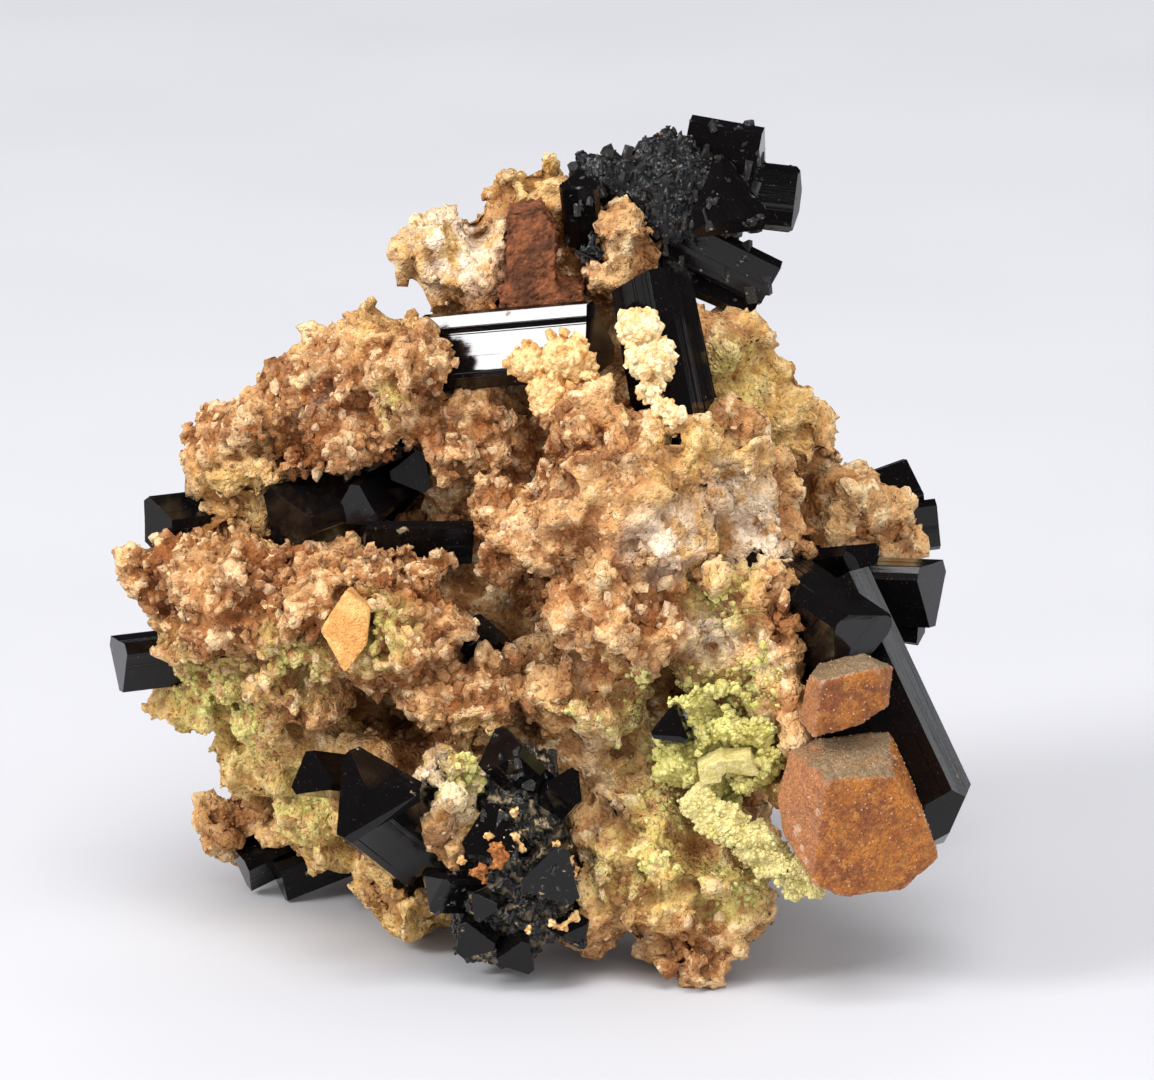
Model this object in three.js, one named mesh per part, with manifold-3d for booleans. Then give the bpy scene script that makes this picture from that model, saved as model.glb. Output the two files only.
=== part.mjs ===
// A hand specimen of black tourmaline on rock, in millimetres, +Z up, standing as it lies on a table.
// The origin is the centre of its base, and -Y is the side with the pointed crystals and the orange pair.
//
// The rock is one solid: broken chunks and crumbs joined together, with pits cut out of it. Each crystal
// is a trigonal prism with three end faces, set in a seat that is cut for it. Crystals that grew through
// each other are joined into one solid.

import * as THREE from 'three';
import { mergeVertices } from 'three/addons/utils/BufferGeometryUtils.js';
import { ConvexGeometry } from 'three/addons/geometries/ConvexGeometry.js';
import Module from 'manifold-3d';

const wasm = await Module();
wasm.setup();

// Driving dimensions

const SEAT = 0.15;            // clearance between a piece and what it sits in
const BASE = 0;               // height of the plane that the rock's feet are worn flat to
const TRIGONAL = 0.2;         // how far the prism's section leans from a hexagon to a triangle
const END_SLOPE = 0.52;       // rise over run of a tourmaline's three end faces
const WHOLE_FACE = 3;         // a level end face this many times as wide as the prism leaves no point
const CHIP = 0.34;            // how unevenly a broken piece is chipped, as a share of its size
const CHUNK_CORNERS = 12;     // corners of a chunk of rock
const CRUMB_CORNERS = 6;      // corners of a crumb
const SMALLEST_CRUMB = 0.65;  // radius of the smallest crumb in a row as a share of the largest
const CORNER_REACH = 1.5;     // how far a block's corners move out for its faces to move out by one
const SEED_WEIGHTS = new THREE.Vector3( 131, 57, 29 );
const GOLDEN_ANGLE = Math.PI * ( 3 - Math.sqrt( 5 ) );
const MERGE = 1e-4;           // distance within which two vertices are one

// Materials

const materials = {
	rock: new THREE.MeshStandardMaterial( { color: 0xc79a62, roughness: 0.95, metalness: 0 } ),
	schorl: new THREE.MeshStandardMaterial( { color: 0x0d0d10, roughness: 0.15, metalness: 0 } ),
	brokenSchorl: new THREE.MeshStandardMaterial( { color: 0x191a1e, roughness: 0.5, metalness: 0 } ),
	orange: new THREE.MeshStandardMaterial( { color: 0xb5622a, roughness: 0.6, metalness: 0 } ),
	rust: new THREE.MeshStandardMaterial( { color: 0x7d4223, roughness: 0.8, metalness: 0 } ),
	tan: new THREE.MeshStandardMaterial( { color: 0xd9a05c, roughness: 0.85, metalness: 0 } ),
	crust: new THREE.MeshStandardMaterial( { color: 0xd8cf86, roughness: 0.7, metalness: 0 } ),
};

// Solids from geometries, and back

function solidOf( geometry ) {

	const bare = geometry.clone();
	bare.deleteAttribute( 'normal' );
	bare.deleteAttribute( 'uv' );
	const merged = mergeVertices( bare, MERGE );
	return new wasm.Manifold( new wasm.Mesh( {
		numProp: 3,
		vertProperties: merged.attributes.position.array,
		triVerts: new Uint32Array( merged.index.array ),
	} ) );

}

function geometryOf( solid ) {

	const mesh = solid.getMesh();
	const geometry = new THREE.BufferGeometry();
	geometry.setAttribute( 'position', new THREE.BufferAttribute( mesh.vertProperties, 3 ) );
	geometry.setIndex( new THREE.BufferAttribute( mesh.triVerts, 1 ) );
	geometry.computeVertexNormals();
	return geometry;

}

const joined = ( solids ) => solids.reduce( ( whole, solid ) => whole.add( solid ) );

// The one body that matters, without the crumbs and sealed voids that joining and cutting leave.
const largest = ( solid ) => solid.decompose().reduce( ( a, b ) => ( b.volume() > a.volume() ? b : a ) );

// A piece is { frame, solid }: where its own origin and axes lie in the specimen, and a function that
// gives its solid there, grown all round by some distance.

const frameAt = ( at ) => new THREE.Matrix4().makeTranslation( ...at );

function together( ...pieces ) {

	return { frame: frameAt( new THREE.Vector3().setFromMatrixPosition( pieces[ 0 ].frame ) ),
		solid: ( grow ) => joined( pieces.map( ( piece ) => piece.solid( grow ) ) ) };

}

// Broken rock

// Random numbers that depend only on a place, so a piece keeps its shape when others move.
function randomAt( at ) {

	THREE.MathUtils.seededRandom( Math.round( new THREE.Vector3( ...at ).dot( SEED_WEIGHTS ) ) );
	return THREE.MathUtils.seededRandom;

}

// The corners of a broken piece of unit size: points spread evenly over a ball, turned and chipped at
// random.
function brokenBall( at, corners ) {

	const random = randomAt( at );
	const turns = [ random(), random(), random() ].map( ( share ) => 2 * Math.PI * share );
	const tumble = new THREE.Euler( ...turns );
	const points = [];
	for ( let i = 0; i < corners; i ++ ) {

		const height = 1 - ( 2 * i + 1 ) / corners;
		const ring = Math.sqrt( 1 - height * height );
		const angle = i * GOLDEN_ANGLE + CHIP * random();
		const point = new THREE.Vector3( ring * Math.cos( angle ), ring * Math.sin( angle ), height );
		points.push( point.multiplyScalar( 1 + CHIP * ( random() - 0.5 ) ).applyEuler( tumble ) );

	}
	return points;

}

// A chunk of rock: at is its centre, half its half-sizes.
function chunk( at, half, corners = CHUNK_CORNERS ) {

	const centre = new THREE.Vector3( ...at );
	const ball = brokenBall( at, corners );
	return { frame: frameAt( at ), solid: ( grow ) => {

		const size = new THREE.Vector3( ...half ).addScalar( grow );
		const points = ball.map( ( point ) => point.clone().multiply( size ).add( centre ) );
		return solidOf( new ConvexGeometry( points ) );

	} };

}

// A row of crumbs along a line. Each strays from it by up to spread, and is up to size in radius.
function crumbs( from, to, count, size, spread ) {

	const random = randomAt( from );
	const places = Array.from( { length: count }, ( _, i ) => ( {
		at: from.map( ( start, k ) =>
			THREE.MathUtils.lerp( start, to[ k ], ( i + 0.5 ) / count ) + spread * ( 2 * random() - 1 ) ),
		radius: size * THREE.MathUtils.lerp( SMALLEST_CRUMB, 1, random() ),
	} ) );
	return together( ...places.map( ( { at, radius } ) =>
		chunk( at, [ radius, radius, radius ], CRUMB_CORNERS ) ) );

}

// A flat-sided block through its corners.
function block( corners ) {

	const points = corners.map( ( corner ) => new THREE.Vector3( ...corner ) );
	const sum = points.reduce( ( whole, point ) => whole.add( point ), new THREE.Vector3() );
	const centre = sum.divideScalar( points.length );
	const outward = points.map( ( p ) => p.clone().sub( centre ).normalize() );
	return { frame: frameAt( centre ), solid: ( grow ) => solidOf( new ConvexGeometry(
		points.map( ( p, i ) => p.clone().addScaledVector( outward[ i ], CORNER_REACH * grow ) ) ) ) };

}

// Tourmaline crystals

const UP = new THREE.Vector3( 0, 0, 1 );
const SIXTH = Math.PI / 3;

// The prism's section: six sides, of which every other one is wide and lies nearer the axis.
function section( across, grow ) {

	const distance = ( k ) => across / 2 * ( 1 + ( k % 2 ? TRIGONAL : - TRIGONAL ) ) + grow;
	const corners = [];
	for ( let k = 0; k < 6; k ++ ) {

		const [ a, b ] = [ k * SIXTH, ( k + 1 ) * SIXTH ];
		const [ near, next ] = [ distance( k ), distance( k + 1 ) ];
		corners.push( new THREE.Vector2(
			( near * Math.sin( b ) - next * Math.sin( a ) ) / Math.sin( SIXTH ),
			( next * Math.cos( a ) - near * Math.cos( b ) ) / Math.sin( SIXTH ) ) );

	}
	return new THREE.Shape( corners );

}

// One crystal from its buried root to its tip. across is its mean width, roll its turn about its own axis
// in degrees, flat the width of the level face that cuts off its point as a share of across, slope the
// rise over run of its end faces, and taper how wide its tip is for its root.
function crystal( root, tip, across, { roll = 0, flat = 0.4, slope = END_SLOPE, taper = 1 } = {} ) {

	const start = new THREE.Vector3( ...root );
	const axis = new THREE.Vector3( ...tip ).sub( start );
	const turn = new THREE.Quaternion().setFromUnitVectors( UP, axis.clone().normalize() )
		.multiply( new THREE.Quaternion().setFromAxisAngle( UP, THREE.MathUtils.degToRad( roll ) ) );
	const frame = new THREE.Matrix4().compose( start, turn, new THREE.Vector3( 1, 1, 1 ) );
	return { frame, solid: ( grow ) => {

		const length = axis.length() + grow;
		const prism = new THREE.ExtrudeGeometry( section( across, grow ),
			{ depth: length, bevelEnabled: false } );
		const places = prism.attributes.position;
		for ( let i = 0; i < places.count; i ++ ) {

			const narrowed = THREE.MathUtils.lerp( 1, taper, places.getZ( i ) / length );
			places.setXY( i, places.getX( i ) * narrowed, places.getY( i ) * narrowed );

		}
		let solid = solidOf( prism );
		for ( let k = 0; k < 3; k ++ ) {

			const angle = 2 * k * SIXTH;
			const rim = flat * across / 2;
			const sideways = new THREE.Vector3( Math.cos( angle ), Math.sin( angle ), 0 );
			const inward = sideways.clone().multiplyScalar( slope ).add( UP ).normalize().negate();
			const onFace = sideways.clone().multiplyScalar( rim ).addScaledVector( UP, axis.length() );
			solid = solid.trimByPlane( inward.toArray(), inward.dot( onFace ) - grow );

		}
		return solid.transform( frame.elements );

	} };

}

// The crystals of the summit

const uprightPrism = crystal( [ 8.7, - 6.4, 28 ], [ 6.5, - 0.4, 38.8 ], 4.4,
	{ flat: WHOLE_FACE, roll: - 23, taper: 0.93 } );

const platePrism = crystal( [ - 6.4, 2.4, 33.6 ], [ 3.3, - 1.6, 35.4 ], 4.1,
	{ flat: WHOLE_FACE, roll: - 20 } );

const topCluster = together(
	chunk( [ 7.4, 5.6, 42.9 ], [ 3.9, 3.6, 4.3 ] ),
	chunk( [ 8.8, 6.5, 39.2 ], [ 3.6, 3, 3.8 ] ),
	chunk( [ 4.6, 5.4, 43.6 ], [ 3.6, 2, 1.9 ] ),
	crystal( [ 2.7, 5, 40 ], [ 2.3, 3.4, 43.8 ], 2.0, { flat: 1.6, roll: 20 } ),
	crystal( [ 3.6, 4.6, 39 ], [ 2.9, 2.2, 40.2 ], 1.5 ),
	crystal( [ 8.6, 8.2, 44.6 ], [ 12.8, 7.4, 44 ], 3.7, { flat: 1.8, roll: 5 } ),
	crystal( [ 8, 8, 42.6 ], [ 15.2, 8.8, 41.6 ], 3.4, { flat: 0.2, roll: 30 } ),
	crystal( [ 10.4, 9, 41.8 ], [ 10.8, 2.4, 42.6 ], 4.2, { roll: 40 } ),
	crystal( [ 7.4, 5, 40.6 ], [ 13.4, 5.4, 37.5 ], 2.6, { flat: 1.8, roll: 40 } ),
	crystal( [ 7.6, 6.4, 38.6 ], [ 12.8, 6.2, 36.4 ], 2.8, { flat: 1.4, roll: 10 } ),
);

const rustyBlock = together(
	block( [
		[ - 1.9, 2.4, 42.2 ], [ 0.2, 2.4, 42.6 ], [ 1.1, 2, 41 ], [ 1, 1.2, 37.6 ], [ - 2.2, 1.4, 37.4 ],
		[ - 1.9, 5.4, 42.2 ], [ 0.2, 5.4, 42.6 ], [ 1.1, 5.4, 41 ], [ 1, 5, 37.6 ], [ - 2.2, 5, 37.4 ],
	] ),
	block( [
		[ - 2.4, 1.4, 37.9 ], [ 2.6, 1.2, 38.1 ], [ 2.7, 0.8, 36.2 ], [ - 2.5, 1, 36 ],
		[ - 2.4, 5, 37.9 ], [ 2.6, 5, 38.1 ], [ 2.7, 5, 36.2 ], [ - 2.5, 5, 36 ],
	] ),
);

const prismCrust = crumbs( [ 5.4, - 6.4, 36.4 ], [ 8.0, - 8.2, 31.2 ], 6, 1.2, 0.3 );

const plateCrust = together(
	crumbs( [ - 1.8, - 3.6, 34.8 ], [ 2.8, - 4.2, 34.6 ], 5, 1.2, 0.3 ),
	crumbs( [ 0.6, - 4.2, 33.4 ], [ 2.4, - 4.6, 31.6 ], 3, 1.5, 0.3 ),
);

// The crystals that lie in the valley, and those of the left side

const valleyCrystal = crystal( [ - 8.6, 3.4, 25.6 ], [ - 14.6, - 2.2, 24.8 ], 3.9,
	{ flat: 0.9, roll: 24 } );

const valleyCluster = together(
	crystal( [ - 8.8, 3, 26 ], [ - 10.6, - 2.4, 25.8 ], 2.4, { flat: 1.6, roll: 12 } ),
	crystal( [ - 8, 4, 28 ], [ - 9.4, - 1.2, 29 ], 2.5, { roll: 40 } ),
	crystal( [ - 7, 3.4, 27.2 ], [ - 7.3, - 1.8, 27.8 ], 2.2, { flat: 1.5, roll: 5 } ),
	crystal( [ - 8, 2.4, 26 ], [ - 7.4, 0.4, 30.4 ], 1.1 ),
);

const valleyPrism = crystal( [ - 4, - 1.6, 23.8 ], [ - 10.2, - 2.8, 24.1 ], 2.4, { flat: 1.4, roll: 30 } );

const leftPair = together(
	crystal( [ - 17.6, 4.4, 23.8 ], [ - 22.3, 0.2, 24.3 ], 2.6, { flat: 1.4, roll: 18 } ),
	crystal( [ - 17.6, 4.4, 24.4 ], [ - 20.3, 1.6, 25.4 ], 1.6, { roll: 35 } ),
);

const leftPrism = crystal( [ - 15, 4.4, 16 ], [ - 24.6, 0.8, 15.8 ], 3.1, { flat: WHOLE_FACE, roll: 26 } );

const backLeftCluster = together(
	crystal( [ - 12, 7, 4.2 ], [ - 17.8, 4.8, 1.9 ], 2.8, { flat: 1.3, roll: 10 } ),
	crystal( [ - 10, 6, 3.2 ], [ - 15.6, 4, 1.5 ], 2.5, { flat: 1.8, roll: 33 } ),
	crystal( [ - 13, 7.6, 4.2 ], [ - 18, 7.8, 2.6 ], 1.9, { roll: 5 } ),
);

// The crystals of the lower front

const pointCrystal = crystal( [ - 5.6, - 4, 5.6 ], [ - 9.8, - 13.6, 12.4 ], 5.0, { flat: 0, roll: 46 } );

const sideCrystal = crystal( [ - 9.8, - 4, 9.8 ], [ - 13, - 9.8, 12 ], 2.4, { flat: 1.6, roll: 16 } );

const lowerCluster = together(
	chunk( [ - 1.2, - 9.6, 9.8 ], [ 3.8, 3.6, 4.6 ] ),
	chunk( [ - 1.8, - 9.8, 4.8 ], [ 4.6, 4, 4.8 ] ),
	crystal( [ 0.9, - 9.4, 10.4 ], [ - 2.2, - 12.4, 14.4 ], 2.6, { flat: 1.5, roll: 22 } ),
	crystal( [ 0.8, - 8, 6.6 ], [ 0.8, - 14.6, 7.4 ], 3.0, { flat: WHOLE_FACE, roll: 14 } ),
	crystal( [ - 2, - 9.6, 5.2 ], [ - 6.1, - 12.6, 6.2 ], 2.4, { roll: 40 } ),
	crystal( [ - 0.6, - 9, 8.2 ], [ - 2.8, - 13.4, 9.6 ], 3.0, { flat: 1.0, roll: 8 } ),
	crystal( [ 0.2, - 9.6, 3.6 ], [ 2.3, - 12.6, 3.4 ], 1.7, { roll: 25 } ),
);

// The crystals of the right side

const rightTwins = together(
	crystal( [ 12, 2, 20.6 ], [ 18.8, - 3.6, 22.8 ], 3.0, { roll: 12 } ),
	crystal( [ 12.6, 1.4, 20.4 ], [ 22.6, - 3.4, 21.3 ], 3.7, { flat: 0.8, roll: 28 } ),
	crystal( [ 14, 0.4, 18.8 ], [ 22, - 3, 18.6 ], 1.3, { flat: 1.6 } ),
);

const rightCrystals = together(
	crystal( [ 16.2, - 4.6, 21.1 ], [ 22.6, - 11.6, 8.6 ], 6.5, { flat: 0.2, roll: - 46, slope: 0.9 } ),
	crystal( [ 12.9, - 6, 22.6 ], [ 18, - 11.6, 20.4 ], 4.4, { flat: 0.7 } ),
);

const backRightCrystals = together(
	crystal( [ 15.4, 10, 21.6 ], [ 22.2, 12.6, 23.4 ], 2.6, { flat: 1.5, roll: 10 } ),
	crystal( [ 15.6, 11, 20.4 ], [ 23.6, 12, 21.2 ], 2.7, { flat: 1.0, roll: 34 } ),
);

const orangeLarge = block( [
	[ 16.1, - 17.6, 14 ], [ 19.9, - 16.9, 14.1 ], [ 21.7, - 16.4, 11.7 ], [ 22.6, - 15.9, 9 ],
	[ 20.5, - 16.3, 7.2 ], [ 17, - 17.1, 7 ], [ 15.4, - 17, 7.8 ], [ 13.4, - 14.6, 12.2 ],
	[ 13.7, - 14.8, 10.2 ],
	[ 15.9, - 14.6, 15.7 ], [ 19.7, - 14, 15.9 ], [ 14.1, - 14.4, 14.8 ], [ 15.4, - 10.6, 8.8 ],
	[ 15, - 10, 14 ], [ 20.4, - 10, 14 ], [ 21, - 10, 8.3 ],
] );

const orangeSmall = block( [
	[ 15.8, - 17, 19.7 ], [ 19, - 16.4, 20.3 ], [ 19.6, - 15.8, 17.9 ], [ 18.2, - 16, 16.9 ],
	[ 15.4, - 16.6, 16.2 ], [ 14.5, - 15.2, 16.9 ], [ 15.1, - 15.4, 19.5 ], [ 18.2, - 14.6, 20.7 ],
	[ 19.9, - 14.8, 19.9 ], [ 15.6, - 11.6, 16.4 ], [ 19, - 11.6, 16.6 ], [ 15.8, - 11.6, 19.2 ],
	[ 19, - 11.6, 19.2 ],
] );

// The crystals of the far side, which are few and short

const backPrism = crystal( [ 3, 9, 26 ], [ - 1.2, 17, 29 ], 3.6, { flat: WHOLE_FACE, roll: 20 } );

const backPair = together(
	crystal( [ 8, 9, 12 ], [ 12.2, 17, 13.6 ], 3.2, { flat: 0.6, roll: 10 } ),
	crystal( [ 7, 9, 14 ], [ 8.4, 17.2, 17 ], 2.4, { flat: 1.4, roll: 44 } ),
);

const backPoint = crystal( [ - 8, 9, 17 ], [ - 13.4, 16.6, 18.6 ], 3.4, { flat: 0, roll: 30 } );

// The small pieces in the hollows of the rock

const tanPlate = block( [
	[ - 12.4, - 10.6, 20.8 ], [ - 10.9, - 11.2, 23.4 ], [ - 9.5, - 11, 22.2 ], [ - 9.7, - 11.4, 20.2 ],
	[ - 11, - 11.2, 18.4 ], [ - 12.2, - 8.6, 20.8 ], [ - 10.7, - 8.8, 23 ], [ - 9.5, - 8.6, 22 ],
	[ - 9.7, - 8.8, 20.2 ], [ - 11, - 8.8, 18.8 ],
] );

const pitPrism = crystal( [ 2.4, - 4.4, 17.4 ], [ 0.8, - 5.4, 27 ], 2.6, { flat: 1.6, roll: 10 } );

const pitCrystal = crystal( [ - 1.3, - 5, 16.5 ], [ - 3.5, - 7.8, 19.9 ], 2.4, { roll: 30 } );

const pocketCrystal = crystal( [ 8.4, - 8, 14.6 ], [ 7.4, - 12.4, 15.6 ], 1.9, { roll: 12 } );

// The yellow-green crust. It fills a pocket under the shoulder and hangs out of it in a finger.

const pocket = chunk( [ 9.2, - 13.2, 13.6 ], [ 5.9, 5.4, 5.6 ], 14 );

const crustBalls = together(
	crumbs( [ 6.8, - 10.6, 17 ], [ 13.4, - 10.8, 18 ], 4, 2.0, 0.4 ),
	crumbs( [ 6.2, - 10.4, 14.6 ], [ 13.8, - 11, 15.2 ], 4, 2.1, 0.4 ),
	crumbs( [ 7.2, - 10.6, 12.2 ], [ 14.2, - 11.4, 12.6 ], 4, 2.1, 0.4 ),
	crumbs( [ 8.6, - 10.6, 10 ], [ 13.6, - 11.4, 10.2 ], 3, 1.9, 0.4 ),
	chunk( [ 10.2, - 8.6, 14 ], [ 5.6, 2.4, 4.8 ] ),
);

const greenFinger = crumbs( [ 9, - 12.8, 11 ], [ 15.2, - 14.2, 7.0 ], 8, 1.9, 0.25 );

const greenTablets = together(
	block( [
		[ 8.9, - 13.4, 13.4 ], [ 10.4, - 13.6, 14.2 ], [ 10.4, - 13.2, 12.6 ], [ 9.2, - 13.2, 12.4 ],
		[ 8.9, - 11, 13.4 ], [ 10.4, - 11, 14.2 ], [ 10.4, - 11, 12.6 ], [ 9.2, - 11, 12.4 ],
	] ),
	block( [
		[ 10, - 13.6, 14 ], [ 12, - 13.4, 14.2 ], [ 12.6, - 13, 12.8 ], [ 10.2, - 13.2, 13.2 ],
		[ 10, - 11, 14 ], [ 12, - 11, 14.2 ], [ 12.6, - 11, 12.8 ], [ 10.2, - 11, 13.2 ],
	] ),
);

// The rock

const rockMasses = [
	// the heart of the rock, its far side and the foot that it hides
	chunk( [ 1, 6, 21 ], [ 14, 10.5, 14 ], 26 ),
	chunk( [ 2, 0, 10 ], [ 11, 9, 8 ], 20 ),
	chunk( [ - 3, 10.4, 20 ], [ 11, 6.8, 11 ] ),
	chunk( [ 8, 11, 14 ], [ 9, 7, 9 ] ),
	chunk( [ - 9, 9, 9 ], [ 8, 7, 7 ] ),
	chunk( [ 2, 10, 33 ], [ 8, 6.4, 6.4 ] ),
	chunk( [ 11, 10, 26 ], [ 7.4, 6.4, 6.4 ] ),
	chunk( [ - 10, 10, 26 ], [ 7.4, 6.4, 6.4 ] ),
	chunk( [ 10, 12.4, 5 ], [ 5.6, 4.8, 6.4 ] ),
	chunk( [ - 8, 9, 3.6 ], [ 5.2, 4.8, 4.8 ] ),
	chunk( [ 2.4, 14.6, 22 ], [ 4.4, 3, 4.8 ] ),
	chunk( [ - 6.4, 14.6, 15.4 ], [ 4, 3, 3.4 ] ),
	chunk( [ 12.4, 14, 19.6 ], [ 3.8, 3.2, 3.4 ] ),
	chunk( [ - 3, 12.6, 28.4 ], [ 3.8, 3.4, 3.6 ] ),

	// the slope at the upper left, from its low shoulder to the pale summit
	chunk( [ - 17.6, 3, 27.6 ], [ 3.6, 4, 3.6 ] ),
	chunk( [ - 13.6, 2.6, 30.2 ], [ 4.6, 4.4, 4.6 ] ),
	chunk( [ - 9.4, 3, 31.8 ], [ 5, 4.6, 5 ] ),
	chunk( [ - 4.6, 1.0, 29.6 ], [ 4.6, 4, 4.4 ] ),
	chunk( [ - 11.6, - 0.2, 29.8 ], [ 3.4, 3, 3 ] ),
	chunk( [ - 16.6, 4.6, 24.4 ], [ 3.6, 3.6, 3.6 ] ),
	chunk( [ - 17.6, 1.8, 24.8 ], [ 2.5, 2.6, 2.6 ] ),
	chunk( [ - 12.6, 6, 32.4 ], [ 2.8, 2.6, 2.6 ] ),
	chunk( [ - 3.6, 5.6, 37 ], [ 4.1, 4, 4.2 ] ),
	chunk( [ - 0.6, 7, 38.8 ], [ 4.2, 3.6, 4.6 ] ),
	chunk( [ - 4.2, 6, 40.2 ], [ 1.9, 2, 1.9 ] ),
	chunk( [ - 6.2, 5.4, 39.4 ], [ 2.3, 2.4, 2.6 ] ),
	chunk( [ - 1.8, 7.6, 42 ], [ 1.9, 1.9, 1.9 ] ),
	chunk( [ 0, 8.6, 42.4 ], [ 1.8, 1.8, 1.8 ] ),
	chunk( [ 4.6, 4.4, 38.6 ], [ 3, 2.8, 3 ] ),
	chunk( [ 5.4, 4.8, 41 ], [ 2.6, 2.4, 2.4 ] ),
	chunk( [ - 7.4, - 0.8, 34 ], [ 2.4, 3, 2.8 ] ),
	crumbs( [ - 18.4, 0.4, 29.4 ], [ - 8, 0, 34.4 ], 6, 1.8, 0.8 ),
	crumbs( [ - 17.4, - 0.6, 26.4 ], [ - 7, - 1.8, 30.4 ], 5, 1.7, 0.8 ),

	// the ridge that runs across the lower left
	chunk( [ - 20.9, 0, 21 ], [ 3.4, 3.4, 3.4 ] ),
	chunk( [ - 16.8, - 2.6, 20.6 ], [ 4.2, 4.4, 4.2 ] ),
	chunk( [ - 12.2, - 5, 20.2 ], [ 4.8, 5, 4.4 ] ),
	chunk( [ - 7.6, - 6.4, 19.4 ], [ 4.8, 5, 4.6 ] ),
	chunk( [ - 4, - 7.4, 16.8 ], [ 4.2, 4.6, 3.8 ] ),
	chunk( [ - 14, - 2.6, 15.6 ], [ 4.4, 4.6, 4.2 ] ),
	chunk( [ - 18.8, - 0.6, 17.4 ], [ 3.8, 4, 3.8 ] ),
	crumbs( [ - 20.4, - 2.6, 22.8 ], [ - 6, - 8.6, 22.4 ], 7, 1.9, 0.9 ),
	crumbs( [ - 10.4, - 4.6, 23.2 ], [ - 3.6, - 4.4, 23 ], 4, 1.5, 0.4 ),
	crumbs( [ - 19.4, - 3.6, 19.4 ], [ - 5, - 10.4, 18.4 ], 6, 1.9, 0.9 ),

	// the paler wall under the ridge, down to the left foot
	chunk( [ - 19.4, 3, 13.4 ], [ 3.2, 3, 3 ] ),
	chunk( [ - 21, 3, 13.2 ], [ 2.4, 2.6, 2 ] ),
	chunk( [ - 16.2, 3.4, 9.6 ], [ 3.7, 4, 4 ] ),
	chunk( [ - 12.2, 1.2, 6.6 ], [ 4.6, 4.8, 4.8 ] ),
	chunk( [ - 14.2, - 0.4, 12 ], [ 4.2, 4.4, 4.4 ] ),
	chunk( [ - 9.6, - 2.4, 9 ], [ 4, 4.2, 4.6 ] ),
	chunk( [ - 14.6, 5, 6 ], [ 3.4, 3.6, 3.4 ] ),
	chunk( [ - 7.4, - 3, 3.6 ], [ 4.2, 4.4, 4.2 ] ),
	chunk( [ - 17.9, 7, 4 ], [ 2.6, 3.2, 2.8 ] ),

	// the big pale shoulder in the middle
	chunk( [ 5.6, - 5.6, 27 ], [ 6.4, 5.8, 6 ], 28 ),
	chunk( [ 10.4, - 4, 25.6 ], [ 5.4, 5.2, 5.4 ] ),
	chunk( [ 4.6, - 8, 21.4 ], [ 5.2, 4.8, 5 ] ),
	chunk( [ - 1.2, - 5.6, 25.2 ], [ 3.2, 3, 3 ] ),
	chunk( [ 9.8, - 7.4, 20.8 ], [ 4.8, 4.6, 4.6 ] ),
	chunk( [ 3.2, - 4.4, 31 ], [ 3.2, 3.2, 3.4 ] ),
	chunk( [ 2.4, - 6.6, 16.2 ], [ 4.8, 4.8, 4.2 ] ),
	chunk( [ 10.2, - 3.6, 29.8 ], [ 3.6, 3.6, 3.4 ] ),
	chunk( [ 12.6, - 5.8, 22.8 ], [ 3.2, 3.2, 3.2 ] ),
	chunk( [ 13.4, - 8.2, 16.6 ], [ 2.8, 3, 4.4 ] ),
	chunk( [ 14.4, - 10.6, 13.8 ], [ 2, 3.2, 4.6 ] ),
	chunk( [ 13.2, - 9.9, 22.9 ], [ 2.1, 2, 2.2 ] ),
	chunk( [ 14, - 10.6, 20.6 ], [ 1.8, 1.8, 2 ] ),
	crumbs( [ 0.6, - 8.8, 29.2 ], [ 12.6, - 7.4, 29.2 ], 6, 1.7, 0.8 ),
	crumbs( [ 2.6, - 11.6, 24.6 ], [ 13.6, - 8.8, 24 ], 5, 1.7, 0.9 ),

	// the far shoulder at the right
	chunk( [ 12.2, 5, 31 ], [ 3.9, 4.2, 4 ] ),
	chunk( [ 10.2, 4.6, 33.4 ], [ 3.6, 3.6, 3.6 ] ),
	chunk( [ 14.6, 5, 28.2 ], [ 3.2, 3.4, 3.6 ] ),
	chunk( [ 18.2, 8.6, 22.8 ], [ 3.4, 3.4, 3 ] ),
	chunk( [ 21, 9, 21 ], [ 2, 2, 2 ] ),
	crumbs( [ 11, 2, 34.4 ], [ 18.6, 5.4, 25 ], 5, 1.6, 0.7 ),

	// the lower rock and its foot
	chunk( [ 8, - 8.4, 5 ], [ 5.6, 5.6, 5.4 ] ),
	chunk( [ 3.6, - 8.4, 4 ], [ 3.4, 4.2, 3.8 ] ),
	chunk( [ 5.4, - 7.6, 7.6 ], [ 4.4, 4.8, 4 ] ),
	chunk( [ 10.2, - 7, 5.6 ], [ 4, 4.6, 4.6 ] ),
	chunk( [ 9.2, - 11, 2.2 ], [ 2.8, 2.6, 3.4 ] ),
	chunk( [ - 5, - 9.2, 11.4 ], [ 2.6, 3.8, 3.4 ] ),
	chunk( [ - 5.2, - 11, 10.4 ], [ 2.4, 2.8, 3.8 ] ),
	crumbs( [ 3.6, - 12.6, 7.6 ], [ 12.4, - 12, 5.8 ], 5, 1.4, 0.8 ),
];

const pits = [
	// the valley behind the ridge, where black crystals lie
	chunk( [ - 10.4, - 2.2, 26.6 ], [ 5.8, 3.4, 2.2 ] ),
	// holes through which buried crystals show
	chunk( [ - 0.4, - 8.4, 22.6 ], [ 1.1, 3.4, 1.8 ] ),
	chunk( [ 0.6, - 9.4, 19.2 ], [ 1.0, 3.6, 1.2 ] ),
	chunk( [ - 4.4, - 9.6, 19 ], [ 1.2, 3.4, 1.8 ] ),
	chunk( [ 8, - 12.6, 18.6 ], [ 1.7, 2.6, 0.9 ] ),
];

// Putting it together. A region is a group with its own origin, and holds the pieces that grew there.

const specimen = new THREE.Group();

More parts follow.
